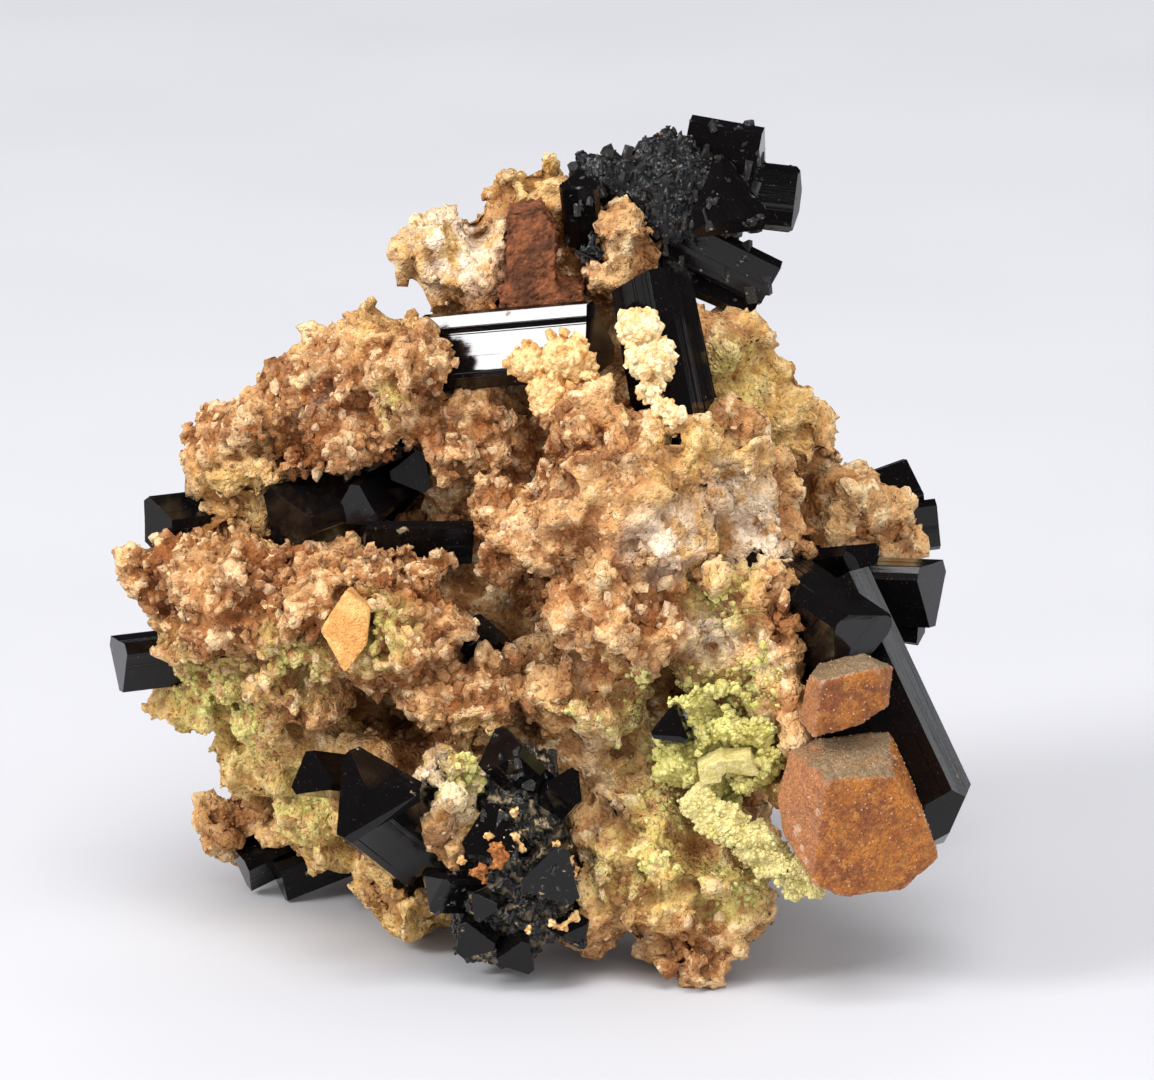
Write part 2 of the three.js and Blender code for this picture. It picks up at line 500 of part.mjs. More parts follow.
function region( ...at ) {

	const group = new THREE.Group();
	group.position.set( ...at );
	specimen.add( group );
	return group;

}

const summit = region( 5, 2, 38 );
const leftSide = region( - 12, 0, 22 );
const lowerFront = region( - 4, - 10, 6 );
const rightSide = region( 18, - 8, 16 );
const farSide = region( 0, 16, 20 );

const seats = [];

function addMesh( name, frame, solid, material, group ) {

	const ownSolid = solid.transform( frame.clone().invert().elements );
	const mesh = new THREE.Mesh( geometryOf( ownSolid ), material );
	mesh.name = name;
	frame.decompose( mesh.position, mesh.quaternion, mesh.scale );
	specimen.add( mesh );
	specimen.updateMatrixWorld( true );
	group.attach( mesh );

}

// A solid with a seat cut in it for each of the pieces.
const without = ( solid, pieces ) => pieces.reduce( ( rest, piece ) => rest.subtract( piece.solid( SEAT ) ),
	solid );

// A piece gives way to the pieces it yields to, and the rock gives way to every piece.
function add( name, piece, material, group, yieldsTo = [] ) {

	addMesh( name, piece.frame, largest( without( piece.solid( 0 ), yieldsTo ) ), material, group );
	seats.push( piece );

}

const { schorl, brokenSchorl, orange, rust, tan, crust } = materials;

add( 'upright_prism', uprightPrism, schorl, summit );
add( 'plate_prism', platePrism, schorl, summit, [ uprightPrism ] );
add( 'top_cluster', topCluster, brokenSchorl, summit );
add( 'rusty_block', rustyBlock, rust, summit, [ platePrism, topCluster ] );
add( 'prism_crust', prismCrust, tan, summit, [ uprightPrism ] );
add( 'plate_crust', plateCrust, tan, summit, [ platePrism, uprightPrism, prismCrust ] );

add( 'valley_cluster', valleyCluster, schorl, leftSide );
add( 'valley_crystal', valleyCrystal, schorl, leftSide, [ valleyCluster ] );
add( 'valley_prism', valleyPrism, schorl, leftSide, [ valleyCluster ] );
add( 'left_pair', leftPair, schorl, leftSide );
add( 'left_prism', leftPrism, schorl, leftSide );
add( 'tan_plate', tanPlate, tan, leftSide );
add( 'back_left_cluster', backLeftCluster, schorl, leftSide );

add( 'point_crystal', pointCrystal, schorl, lowerFront );
add( 'side_crystal', sideCrystal, schorl, lowerFront, [ pointCrystal ] );
add( 'lower_cluster', lowerCluster, brokenSchorl, lowerFront, [ pointCrystal ] );
add( 'pit_prism', pitPrism, schorl, lowerFront );
add( 'pit_crystal', pitCrystal, schorl, lowerFront, [ pitPrism ] );

add( 'right_twins', rightTwins, schorl, rightSide );
add( 'right_crystals', rightCrystals, schorl, rightSide, [ rightTwins ] );
add( 'back_right_crystals', backRightCrystals, schorl, rightSide );
add( 'orange_crystal_large', orangeLarge, orange, rightSide, [ rightCrystals ] );
add( 'orange_crystal_small', orangeSmall, orange, rightSide, [ rightCrystals, orangeLarge ] );
add( 'pocket_crystal', pocketCrystal, schorl, rightSide );
add( 'green_tablets', greenTablets, crust, rightSide );
add( 'green_finger', greenFinger, crust, rightSide, [ orangeLarge, rightCrystals, greenTablets ] );

add( 'back_prism', backPrism, schorl, farSide );
add( 'back_pair', backPair, schorl, farSide );
add( 'back_point_crystal', backPoint, schorl, farSide );

// The crust grows only inside its pocket, so the rock gives way to the pocket instead of to the crust.
const crustSolid = without( crustBalls.solid( 0 ).intersect( pocket.solid( - SEAT ) ),
	[ greenFinger, greenTablets, pocketCrystal, rightCrystals, orangeLarge, orangeSmall ] );
addMesh( 'green_crust', crustBalls.frame, largest( crustSolid ), crust, rightSide );

const hollows = [ ...pits, pocket ].map( ( hollow ) => hollow.solid( 0 ) );
const seatHollows = seats.map( ( seat ) => seat.solid( SEAT ) );
const wholeRock = joined( rockMasses.map( ( mass ) => mass.solid( 0 ) ) );
const cutRock = wholeRock.subtract( joined( [ ...hollows, ...seatHollows ] ) );
const rockSolid = cutRock.trimByPlane( [ 0, 0, 1 ], BASE );
addMesh( 'rock', frameAt( [ 0, 0, 0 ] ), largest( rockSolid ), materials.rock, specimen );

export default specimen;
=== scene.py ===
# %% [markdown]
# Dressing a hand specimen of black tourmaline on crumbly rock
#
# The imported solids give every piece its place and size. This lesson gives each of them the surface of the
# real thing: glassy black prisms with fine lines along them, rock made of grains, an orange coat like
# coarse sugar, and a yellow-green crust of small knobs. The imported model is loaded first, because every
# piece stands in its frame.

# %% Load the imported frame
import math

import bpy
import numpy as np
from mathutils import Matrix, Quaternion, Vector


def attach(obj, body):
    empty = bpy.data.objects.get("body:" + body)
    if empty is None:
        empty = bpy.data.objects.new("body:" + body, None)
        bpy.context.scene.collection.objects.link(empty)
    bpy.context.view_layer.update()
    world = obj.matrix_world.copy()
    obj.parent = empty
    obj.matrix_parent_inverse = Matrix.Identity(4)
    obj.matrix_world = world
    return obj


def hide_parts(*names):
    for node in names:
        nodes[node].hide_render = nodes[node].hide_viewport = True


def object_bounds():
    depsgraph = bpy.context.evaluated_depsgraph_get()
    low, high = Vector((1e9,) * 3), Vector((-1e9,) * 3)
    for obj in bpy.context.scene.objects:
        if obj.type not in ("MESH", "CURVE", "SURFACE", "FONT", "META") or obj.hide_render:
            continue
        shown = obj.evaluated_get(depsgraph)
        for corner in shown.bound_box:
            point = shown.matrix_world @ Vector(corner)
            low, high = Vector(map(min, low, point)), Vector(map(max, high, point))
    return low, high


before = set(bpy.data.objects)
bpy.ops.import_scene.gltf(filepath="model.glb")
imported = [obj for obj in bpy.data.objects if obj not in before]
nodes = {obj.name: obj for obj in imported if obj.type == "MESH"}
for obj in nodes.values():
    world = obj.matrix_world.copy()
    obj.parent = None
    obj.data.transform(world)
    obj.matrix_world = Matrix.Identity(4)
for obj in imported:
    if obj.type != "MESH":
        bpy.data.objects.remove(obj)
cad_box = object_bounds()
MM = 0.001
print("frame:", len(nodes), "nodes")

# %% [markdown]
# The camera comes first. The photo looks a little down on the specimen with a long lens, so far edges are
# hardly smaller than near ones. The camera stands 400 mm away, 15 degrees up, and its lens is long enough
# to fill the frame with 67 mm of width at the specimen.

# %% Camera
AIM = Vector((2.15, 0, 23.3)) * MM
DISTANCE = 400 * MM
ELEVATION = math.radians(15)
LENS = 215.1
SENSOR = 36
towards = Vector((0, -math.cos(ELEVATION), math.sin(ELEVATION)))
bpy.ops.object.camera_add(location=AIM + towards * DISTANCE, rotation=(math.pi / 2 - ELEVATION, 0, 0))
camera = bpy.context.object
camera.name = "photo_camera"
camera.data.lens = LENS
camera.data.sensor_width = SENSOR
camera.data.clip_start = 0.01
camera.data.clip_end = 10
bpy.context.scene.camera = camera
print("camera at", tuple(round(v, 3) for v in camera.location))


# %% [markdown]
# Small helpers for modelling by hand in code. An operator acts on everything that is selected, and
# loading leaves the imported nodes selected, so each helper selects just what it means to change.

# %% Modelling helpers
def only(obj):
    """Makes obj the one selected and active object."""
    bpy.ops.object.select_all(action="DESELECT")
    obj.select_set(True)
    bpy.context.view_layer.objects.active = obj


def edit(obj):
    """Opens obj in edit mode with all of it selected."""
    only(obj)
    bpy.ops.object.mode_set(mode="EDIT")
    bpy.ops.mesh.select_all(action="SELECT")


def leave_edit():
    bpy.ops.object.mode_set(mode="OBJECT")


def apply_modifier(obj, kind, **settings):
    """Adds a modifier, sets it and applies it."""
    only(obj)
    modifier = obj.modifiers.new(kind.lower(), kind)
    for key, value in settings.items():
        setattr(modifier, key, value)
    bpy.ops.object.modifier_apply(modifier=modifier.name)


def join(name, pieces):
    """Joins pieces into one object."""
    only(pieces[0])
    for piece in pieces[1:]:
        piece.select_set(True)
    if len(pieces) > 1:
        bpy.ops.object.join()
    whole = bpy.context.object
    whole.name = name
    whole.data.name = name
    return whole


def copy_of(node, name):
    """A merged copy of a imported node, free to be changed."""
    copy = nodes[node].copy()
    copy.data = nodes[node].data.copy()
    copy.parent = None
    for key in list(copy.keys()):
        del copy[key]
    copy.name = name
    copy.data.name = name
    bpy.context.scene.collection.objects.link(copy)
    edit(copy)
    bpy.ops.mesh.remove_doubles(threshold=0.002 * MM)
    leave_edit()
    copy.data.materials.clear()
    return copy


def points_of(obj):
    """The vertices of obj as an array in millimetres."""
    co = np.empty(len(obj.data.vertices) * 3)
    obj.data.vertices.foreach_get("co", co)
    return co.reshape(-1, 3) / MM


def set_points(obj, points):
    """Moves the vertices of obj to points given in millimetres."""
    obj.data.vertices.foreach_set("co", (points * MM).ravel())
    obj.data.update()


def settle(piece, slot, *replaced):
    """Ties a finished piece to the body and hides the nodes that it stands for. The slot is not used."""
    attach(piece, "root")
    for node in replaced:
        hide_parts(node)
    print(f"{piece.name}: {len(piece.data.polygons)} faces")


print("modelling helpers ready")

# %% [markdown]
# Materials share a few effects: patches, grain and edge wear. Each one is a node group with named inputs,
# built once and used in every material with its own values. Two helpers keep the building short.

# %% A builder for node trees
def tree_nodes(tree):
    """Returns two helpers for a node tree: one adds a node with its values, one links sockets."""
    def add(kind, values=None, **settings):
        node = tree.nodes.new(kind)
        for key, value in settings.items():
            setattr(node, key, value)
        for key, value in (values or {}).items():
            node.inputs[key].default_value = value
        return node

    def link(source, target):
        tree.links.new(source, target)

    return add, link


def new_group(name, inputs, outputs):
    """A shader node group with its sockets. inputs and outputs are (name, type, default) rows."""
    tree = bpy.data.node_groups.new(name, "ShaderNodeTree")
    for label, kind, default in inputs:
        socket = tree.interface.new_socket(label, in_out="INPUT", socket_type=kind)
        if default is not None:
            socket.default_value = default
    for label, kind in outputs:
        tree.interface.new_socket(label, in_out="OUTPUT", socket_type=kind)
    add, link = tree_nodes(tree)
    return tree, add, link, add("NodeGroupInput"), add("NodeGroupOutput")


FLOAT = "NodeSocketFloat"
print("node trees can be built")

# %% [markdown]
# Nothing on the specimen has one flat colour. The first group turns noise into a mask of patches. Its
# amount says how much of the surface the patches cover, and its edge says how soft their borders are.

# %% Patches: a mask with soft or hard borders
patches, add, link, source, sink = new_group(
    "patches",
    [("Size", FLOAT, 3.0), ("Amount", FLOAT, 0.5), ("Edge", FLOAT, 0.1), ("Detail", FLOAT, 4.0)],
    [("Mask", FLOAT)])
place = add("ShaderNodeTexCoord")
scale = add("ShaderNodeMath", {0: 1 / MM}, operation="DIVIDE")
noise = add("ShaderNodeTexNoise", {"Roughness": 0.62})
low = add("ShaderNodeMath", {0: 1.0}, operation="SUBTRACT")
start = add("ShaderNodeMath", operation="SUBTRACT")
end = add("ShaderNodeMath", operation="ADD")
spread = add("ShaderNodeMapRange", {"From Min": 0.28, "From Max": 0.72})
ramp = add("ShaderNodeMapRange", interpolation_type="SMOOTHSTEP")
link(source.outputs["Size"], scale.inputs[1])
link(place.outputs["Object"], noise.inputs["Vector"])
link(scale.outputs[0], noise.inputs["Scale"])
link(source.outputs["Detail"], noise.inputs["Detail"])
link(noise.outputs["Fac"], spread.inputs["Value"])
link(source.outputs["Amount"], low.inputs[1])
link(low.outputs[0], start.inputs[0])
link(source.outputs["Edge"], start.inputs[1])
link(low.outputs[0], end.inputs[0])
link(source.outputs["Edge"], end.inputs[1])
link(spread.outputs["Result"], ramp.inputs["Value"])
link(start.outputs[0], ramp.inputs["From Min"])
link(end.outputs[0], ramp.inputs["From Max"])
link(ramp.outputs["Result"], sink.inputs["Mask"])
print("group", patches.name)

# %% [markdown]
# Rock and crust are made of grains, and no two grains are quite alike. Voronoi cells stand for them: each
# cell's random colour gives its shade, and the distance to its centre gives a rounded height.

# %% Grain: a colour that changes a little from grain to grain, and the height of the grains
grain, add, link, source, sink = new_group(
    "grain",
    [("Size", FLOAT, 0.3), ("Contrast", FLOAT, 0.5)],
    [("Shade", FLOAT), ("Height", FLOAT)])
place = add("ShaderNodeTexCoord")
scale = add("ShaderNodeMath", {0: 1 / MM}, operation="DIVIDE")
cells = add("ShaderNodeTexVoronoi", feature="F1")
own_color = add("ShaderNodeSeparateColor")
contrast = add("ShaderNodeMath", operation="MULTIPLY")
shade = add("ShaderNodeMath", operation="SUBTRACT")
half = add("ShaderNodeMath", {1: 0.5}, operation="MULTIPLY")
lifted = add("ShaderNodeMath", {1: 1.0}, operation="ADD")
hills = add("ShaderNodeMapRange", {"From Min": 0.0, "From Max": 0.7, "To Min": 1.0, "To Max": 0.0})
link(source.outputs["Size"], scale.inputs[1])
link(place.outputs["Object"], cells.inputs["Vector"])
link(scale.outputs[0], cells.inputs["Scale"])
link(cells.outputs["Color"], own_color.inputs["Color"])
link(own_color.outputs["Red"], contrast.inputs[0])
link(source.outputs["Contrast"], contrast.inputs[1])
link(source.outputs["Contrast"], half.inputs[0])
link(half.outputs[0], shade.inputs[1])
link(contrast.outputs[0], shade.inputs[0])
link(shade.outputs[0], lifted.inputs[0])
link(cells.outputs["Distance"], hills.inputs["Value"])
link(lifted.outputs[0], sink.inputs["Shade"])
link(hills.outputs["Result"], sink.inputs["Height"])
print("group", grain.name)

# %% [markdown]
# Corners rub pale, and hollows are darkened as painted shade; on the front black mass the hollows also
# hold stains. Pointiness is how sharply the mesh turns at a spot, and the third group makes two masks of
# it, so it works on any shape without texture painting.

# %% Edge wear and hollows: where the surface turns sharply outwards or inwards
wear, add, link, source, sink = new_group(
    "edge_wear_and_hollows", [("Sharpness", FLOAT, 0.55)], [("Edges", FLOAT), ("Hollows", FLOAT)])
geometry = add("ShaderNodeNewGeometry")
top = add("ShaderNodeMath", {1: 0.08}, operation="ADD")
edges = add("ShaderNodeMapRange", interpolation_type="SMOOTHSTEP")
hollows = add("ShaderNodeMapRange", {"From Min": 0.5, "From Max": 0.42}, interpolation_type="SMOOTHSTEP")
link(source.outputs["Sharpness"], top.inputs[0])
link(geometry.outputs["Pointiness"], edges.inputs["Value"])
link(source.outputs["Sharpness"], edges.inputs["From Min"])
link(top.outputs[0], edges.inputs["From Max"])
link(geometry.outputs["Pointiness"], hollows.inputs["Value"])
link(edges.outputs["Result"], sink.inputs["Edges"])
link(hollows.outputs["Result"], sink.inputs["Hollows"])
print("group", wear.name)


# %% [markdown]
# A material is set up by one class that makes the Principled shader. Its short methods put in a shared
# group, mix one colour over another through a mask, or add relief that is too fine for the mesh.

# %% Material helpers
def linear(red, green, blue):
    """A colour from 0 to 255 as a screen shows it, made linear."""
    parts = [value / 255 for value in (red, green, blue)]
    return tuple(p / 12.92 if p < 0.04045 else ((p + 0.055) / 1.055) ** 2.4 for p in parts) + (1,)


class Finish:
    """A material with its shader, and short ways to add to it."""

    def __init__(self, name, **settings):
        self.material = bpy.data.materials.new(name)
        self.material.use_nodes = True
        tree = self.material.node_tree
        self.shader = tree.nodes["Principled BSDF"]
        self.add, self.link = tree_nodes(tree)
        for key, value in settings.items():
            self.shader.inputs[key.replace("_", " ")].default_value = value

    def group(self, tree, values=None):
        """A shared node group with its values set."""
        node = self.add("ShaderNodeGroup", node_tree=tree)
        for key, value in (values or {}).items():
            node.inputs[key].default_value = value
        return node

    def patch(self, size, amount, edge=0.1, detail=4.0):
        """The mask of patches of a size in millimetres that cover about an amount of the surface."""
        values = {"Size": size, "Amount": amount, "Edge": edge, "Detail": detail}
        return self.group(patches, values).outputs["Mask"]

    def attribute(self, name):
        """What the mesh stores under a name."""
        node = self.add("ShaderNodeAttribute", attribute_name=name)
        return node.outputs["Fac"]

    def math(self, operation, a, b):
        """A sum, product or comparison of two values, each a number or a socket."""
        node = self.add("ShaderNodeMath", operation=operation)
        for socket, value in zip(node.inputs, (a, b)):
            if isinstance(value, (int, float)):
                socket.default_value = value
            else:
                self.link(value, socket)
        return node.outputs[0]

    def mix(self, below, above, mask):
        """Colour above laid over colour below where mask is 1."""
        node = self.add("ShaderNodeMix", data_type="RGBA", clamp_factor=True)
        inputs = ((node.inputs["Factor"], mask), (node.inputs[6], below), (node.inputs[7], above))
        for socket, value in inputs:
            if isinstance(value, (int, float, tuple)):
                socket.default_value = value
            else:
                self.link(value, socket)
        return node.outputs[2]

    def scaled(self, color, factor):
        """A colour made lighter or darker by a factor that changes over the surface."""
        node = self.add("ShaderNodeVectorMath", operation="SCALE")
        for socket, value in ((node.inputs[0], color), (node.inputs["Scale"], factor)):
            if isinstance(value, tuple):
                socket.default_value = value[:3]
            elif isinstance(value, (int, float)):
                socket.default_value = value
            else:
                self.link(value, socket)
        return node.outputs[0]

    def bump(self, height, depth, strength=1.0, below=None):
        """Relief of a depth in millimetres."""
        node = self.add("ShaderNodeBump", {"Strength": strength, "Distance": depth * MM})
        self.link(height, node.inputs["Height"])
        if below is not None:
            self.link(below, node.inputs["Normal"])
        return node.outputs["Normal"]

    def ramp(self, value, low, high):
        """0 where value is low and 1 where it is high, smooth between."""
        node = self.add("ShaderNodeMapRange", {"From Min": low, "From Max": high},
                        interpolation_type="SMOOTHSTEP")
        self.link(value, node.inputs["Value"])
        return node.outputs["Result"]

    def wear(self, color=None, roughness=None, normal=None):
        """Joins what is given to the shader and returns the finished material."""
        for value, name in ((color, "Base Color"), (roughness, "Roughness"), (normal, "Normal")):
            if value is not None:
                self.link(value, self.shader.inputs[name])
        return self.material


print("material helpers ready")

# %% [markdown]
# The rock changes from place to place. The upper left and the ridge are brown and crumbly, the middle
# shoulder is pale, the left wall is straw yellow, and green dust lies in sheltered spots. Soft balls of
# influence around chosen places tell how brown, straw, green or white each spot is, and which pits get a
# painted dark shade. The same balls colour the rock and its loose grains, so that they always agree.

# %% Where the rock is brown, straw, green or white, and which pits are painted dark
BROWN = [((-13, 1, 30.4), 4.4), ((-7, 0, 32), 4.6), ((-18.6, 1.6, 30), 3), ((-10, -2, 27), 4),
         ((-20.4, -0.6, 20.4), 4.8), ((-14, -4, 20), 6), ((-8, -7, 20), 5), ((-4, -8, 16.6), 3.6),
         ((-2, -4, 28.4), 5), ((1.4, -6, 25), 3.2), ((-1, -5.4, 24), 4), ((3.4, -8, 31), 2.4),
         ((9.8, -8, 24), 1.6), ((4.6, -10.4, 20.4), 2.8), ((6.4, -10.6, 22.2), 2.6),
         ((10, -9.4, 20.6), 1.8), ((1, 4, 39.6), 3.6),
         ((5, -11, 6), 1.6), ((9, -12, 3), 2.2), ((-4, 14, 20), 8), ((10, 14, 12), 6)]
STRAW = [((-5.4, -11.4, 11.8), 3.4), ((-17.2, 0, 25.6), 3.6), ((8, -12, 7), 4.2),
         ((-17, 2, 9.6), 5.5), ((-12, 0, 7), 6), ((-7, -4, 3), 5), ((-19, 1, 13), 4), ((-8, 2, 36), 3),
         ((0, 8, 42), 3), ((13, 3, 31), 4.6), ((9, -8, 29), 3.5), ((-15, 8, 33), 3), ((-5, 6, 39.5), 3)]
GREEN = [((8.6, -9.8, 13.6), 4.2), ((-3.8, -11.8, 13), 2.1), ((-18.5, -1, 14), 4.2),
         ((-9.6, -10, 20.4), 2.2), ((-13.8, -6, 18), 2.4), ((3.4, -12, 18), 1.6),
         ((6, -12.5, 16), 1.9), ((10, -12, 19.6), 1.5), ((1.4, -11.5, 15.6), 1.5), ((6, -13, 8.4), 2.8),
         ((3, -12.6, 7), 2.2), ((-2.6, -11, 13.4), 1.6), ((-9, -3, 32), 1.2), ((10.6, -9.6, 22.6), 2),
         ((11, -12, 6), 2.2), ((-13, -1, 8), 3.2), ((12, 0, 33), 2.4), ((-4, 1, 35), 1.4)]
WHITE = [((-5, 4, 40), 2.6), ((12.4, -7, 26), 2.2), ((11, -8, 28), 1.8), ((7, -10, 26), 2),
         ((-5.6, -11.4, 12), 2.4), ((-12.6, 1, 31), 1.4), ((9.8, -10.4, 20.6), 1.4), ((3, -10.6, 12), 2.2)]
# Pits where the rock gets a painted dark shade.
SHADED_PITS = [((-9.4, -1.2, 26.2), 2.6), ((-1, -7, 22.4), 2), ((0.4, -8, 19.4), 1.8), ((-4.4, -8.4, 19), 2),
          ((7.6, -11, 18.4), 1.8), ((4, -10, 30.8), 1.2), ((9.6, -9.6, 14.6), 3)]
TINTS = {"brown": BROWN, "straw": STRAW, "green": GREEN, "white": WHITE, "shaded_pit": SHADED_PITS}


def influence(points, balls):
    """How much of a tint each point has, from 0 to 1, points in millimetres."""
    total = np.zeros(len(points))
    for centre, radius in balls:
        far = np.linalg.norm(points - np.array(centre), axis=1) / radius
        total = np.maximum(total, np.clip(1.5 - far, 0, 1))
    return total


def tint(obj, centres=None):
    """Stores the tints on obj, at its vertices or as given by one place for each vertex."""
    points = points_of(obj) if centres is None else centres
    for name, balls in TINTS.items():
        layer = obj.data.attributes.new(name, "FLOAT", "POINT")
        layer.data.foreach_set("value", influence(points, balls))


print("tints:", {name: len(balls) for name, balls in TINTS.items()})

# %% [markdown]
# The rock's colour is built in layers, as a painter would: a sandy ground, straw and brown over it where
# the tints say so, each broken up by patches so no border is smooth. Low spots get a painted brown shade,
# raised spots a painted cream highlight, and hollows and chosen pits painted dark shade. Green dust and
# pale quartz come last, and every grain differs a little from the next.

# %% Rock material
SAND, DEEP_SAND, CREAM = linear(212, 168, 116), linear(184, 130, 82), linear(232, 204, 160)
STRAW_LIGHT, STRAW_DEEP = linear(224, 190, 124), linear(198, 154, 88)
CRUMB_BROWN, DEEP_BROWN, CRUMB_CREAM = linear(176, 118, 68), linear(136, 82, 44), linear(214, 176, 130)
# The low-spot brown is painted shade and the raised cream is a painted highlight.
RUST, LOW_SPOT_SHADE, RAISED_HIGHLIGHT = linear(170, 96, 46), linear(136, 80, 42), linear(246, 214, 162)
QUARTZ, GREEN_DUST = linear(234, 212, 184), linear(202, 196, 112)
# The crevice and pit colours are painted shade; the rubbed colour is wear on edges.
CREVICE_SHADE, RUBBED, PIT_SHADE = linear(116, 68, 36), linear(246, 222, 178), linear(70, 40, 20)
DARK_GRAIN, PALE_GRAIN = linear(132, 78, 42), linear(232, 204, 164)


def rock_finish(name, grain_size, edge_light=0.3, varied=False):
    rock = Finish(name, Roughness=0.92, Specular_IOR_Level=0.25)
    brown = rock.attribute("brown")
    straw = rock.attribute("straw")
    raised = rock.attribute("raised")
    green = rock.attribute("green")
    white = rock.attribute("white")
    shaded_pit = rock.attribute("shaded_pit")
    broad = rock.patch(3.2, 0.5, 0.3, 5)
    fine = rock.patch(0.9, 0.5, 0.22, 4)
    pale = rock.mix(SAND, DEEP_SAND, broad)
    pale = rock.mix(pale, CREAM, rock.patch(1.5, 0.3, 0.1))
    straw_color = rock.mix(STRAW_LIGHT, STRAW_DEEP, fine)
    brown_color = rock.mix(CRUMB_BROWN, DEEP_BROWN, broad)
    brown_color = rock.mix(brown_color, CRUMB_CREAM, rock.patch(1.1, 0.34, 0.06))
    brown_mask = rock.math("SUBTRACT", rock.math("ADD", brown, rock.math("MULTIPLY", broad, 0.5)), 0.3)
    straw_mask = rock.math("SUBTRACT", rock.math("ADD", straw, rock.math("MULTIPLY", fine, 0.5)), 0.3)
    color = rock.mix(pale, straw_color, straw_mask)
    color = rock.mix(color, brown_color, brown_mask)
    rusty = rock.patch(1.3, 0.16, 0.06, 5)
    color = rock.mix(color, RUST, rock.math("MULTIPLY", rusty, 0.7))
    # Painted shade: low spots of the relief are darkened to brown.
    low = rock.ramp(raised, 0.15, -0.55)
    color = rock.mix(color, LOW_SPOT_SHADE, rock.math("MULTIPLY", low, 0.55))
    # Painted highlight: raised spots of the relief are lightened to cream.
    high = rock.ramp(raised, 0.3, 1.0)
    color = rock.mix(color, RAISED_HIGHLIGHT, rock.math("MULTIPLY", high, 0.22))
    white_mask = rock.math("MULTIPLY", white, rock.patch(1.6, 0.6, 0.14))
    color = rock.mix(color, QUARTZ, white_mask)
    green_patch = rock.patch(0.7, 0.55, 0.16, 5)
    green_mask = rock.math("MULTIPLY", green, green_patch)
    color = rock.mix(color, GREEN_DUST, rock.math("MULTIPLY", green_mask, 0.8))
    grains = rock.group(grain, {"Size": grain_size, "Contrast": 0.44})
    color = rock.scaled(color, grains.outputs["Shade"])
    edge = rock.group(wear, {"Sharpness": 0.54})
    # Painted shade: the rock's hollows are darkened.
    color = rock.mix(color, CREVICE_SHADE, rock.math("MULTIPLY", edge.outputs["Hollows"], 0.38))
    color = rock.mix(color, RUBBED, rock.math("MULTIPLY", edge.outputs["Edges"], edge_light))
    # Painted shade: the chosen pits are darkened.
    color = rock.mix(color, PIT_SHADE, rock.math("MULTIPLY", shaded_pit, 0.5))
    if varied:
        shade = rock.attribute("shade")
        dark = rock.math("LESS_THAN", shade, 0.35)
        color = rock.mix(color, DARK_GRAIN, rock.math("MULTIPLY", dark, 0.6))
        cream = rock.math("GREATER_THAN", shade, 0.86)
        color = rock.mix(color, PALE_GRAIN, rock.math("MULTIPLY", cream, 0.5))
    fine_grains = rock.group(grain, {"Size": grain_size * 0.45, "Contrast": 0.3})
    normal = rock.bump(grains.outputs["Height"], grain_size * 0.45, 0.9)
    normal = rock.bump(fine_grains.outputs["Height"], grain_size * 0.2, 0.8, normal)
    return rock.wear(color, normal=normal)


rock_material = rock_finish("crumbly_rock", 0.3)
crumb_material = rock_finish("rock_crumbs", 0.2, edge_light=0.08, varied=True)
print("rock materials ready")

# %% [markdown]
# Relief is made by displacement: each point moves along the surface's own direction by what a noise
# texture says there. A vertex group can say where the effect is strong. Nothing may leave the box of the
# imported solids, so what moved out of it is pushed back.

# %% Relief helpers
def noise_texture(name, kind, size, **settings):
    """A procedural texture for displacement, with features of a size in millimetres."""
    texture = bpy.data.textures.new(name, kind)
    texture.noise_scale = size * MM
    for key, value in settings.items():
        setattr(texture, key, value)
    return texture


def weights(obj, name, values):
    """A vertex group with a weight for each vertex."""
    group = obj.vertex_groups.new(name=name)
    for index, value in enumerate(values):
        if value > 0.01:
            group.add([index], float(value), "REPLACE")


def displace(obj, texture, height, mid=0.5, group=""):
    """Moves the surface in and out by a texture. height is in millimetres."""
    apply_modifier(obj, "DISPLACE", texture=texture, texture_coords="LOCAL", direction="NORMAL",
                   strength=height * MM, mid_level=mid, vertex_group=group)


def normals_of(obj):
    """The way out of the surface at each vertex."""
    values = np.empty(len(obj.data.vertices) * 3)
    obj.data.vertex_normals.foreach_get("vector", values)
    return values.reshape(-1, 3)


def keep_in_box(obj):
    """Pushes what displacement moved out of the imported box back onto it."""
    low, high = [np.array(corner) / MM for corner in cad_box]
    set_points(obj, np.clip(points_of(obj), low + 0.01, high - 0.01))


print("relief helpers ready")

# %% [markdown]
# The rock itself starts from its imported solid of flat-sided chunks. A voxel remesh turns it into one
# even skin, and displacement breaks the flat sides up from boulders of 3.6 mm down to grit of 0.4 mm.
# Cells with sunken borders make round lumps, and creased cells make sharp ones. Where the rock is brown
# the crumbs are coarse, where it is pale they are finer. Sculpting could do the same, but this way one
# number changes a whole kind of lump. How far each point moved is kept, because the material paints shade
# into low spots and a highlight onto raised ones. At the end the mesh is thinned to a size that is quick to
# use.

# %% Rock
ROCK_VOXEL = 0.27
MOST_TRIANGLES = 190_000
CREASED = dict(weight_1=-1.0, weight_2=1.0, noise_intensity=1.3)
SUNKEN = dict(weight_1=1.0, distance_metric="DISTANCE_SQUARED", noise_intensity=1.6)
boulders = noise_texture("rock_boulders", "VORONOI", 3.6, **SUNKEN)
knots = noise_texture("rock_knots", "VORONOI", 2.0, **SUNKEN)
lumps = noise_texture("rock_lumps", "CLOUDS", 2.4, noise_depth=2)
crumbs = noise_texture("rock_crumbs", "VORONOI", 1.1, **SUNKEN)
fine_crumbs = noise_texture("rock_fine_crumbs", "VORONOI", 0.55, **CREASED)
grit = noise_texture("rock_grit", "CLOUDS", 0.4, noise_depth=1)

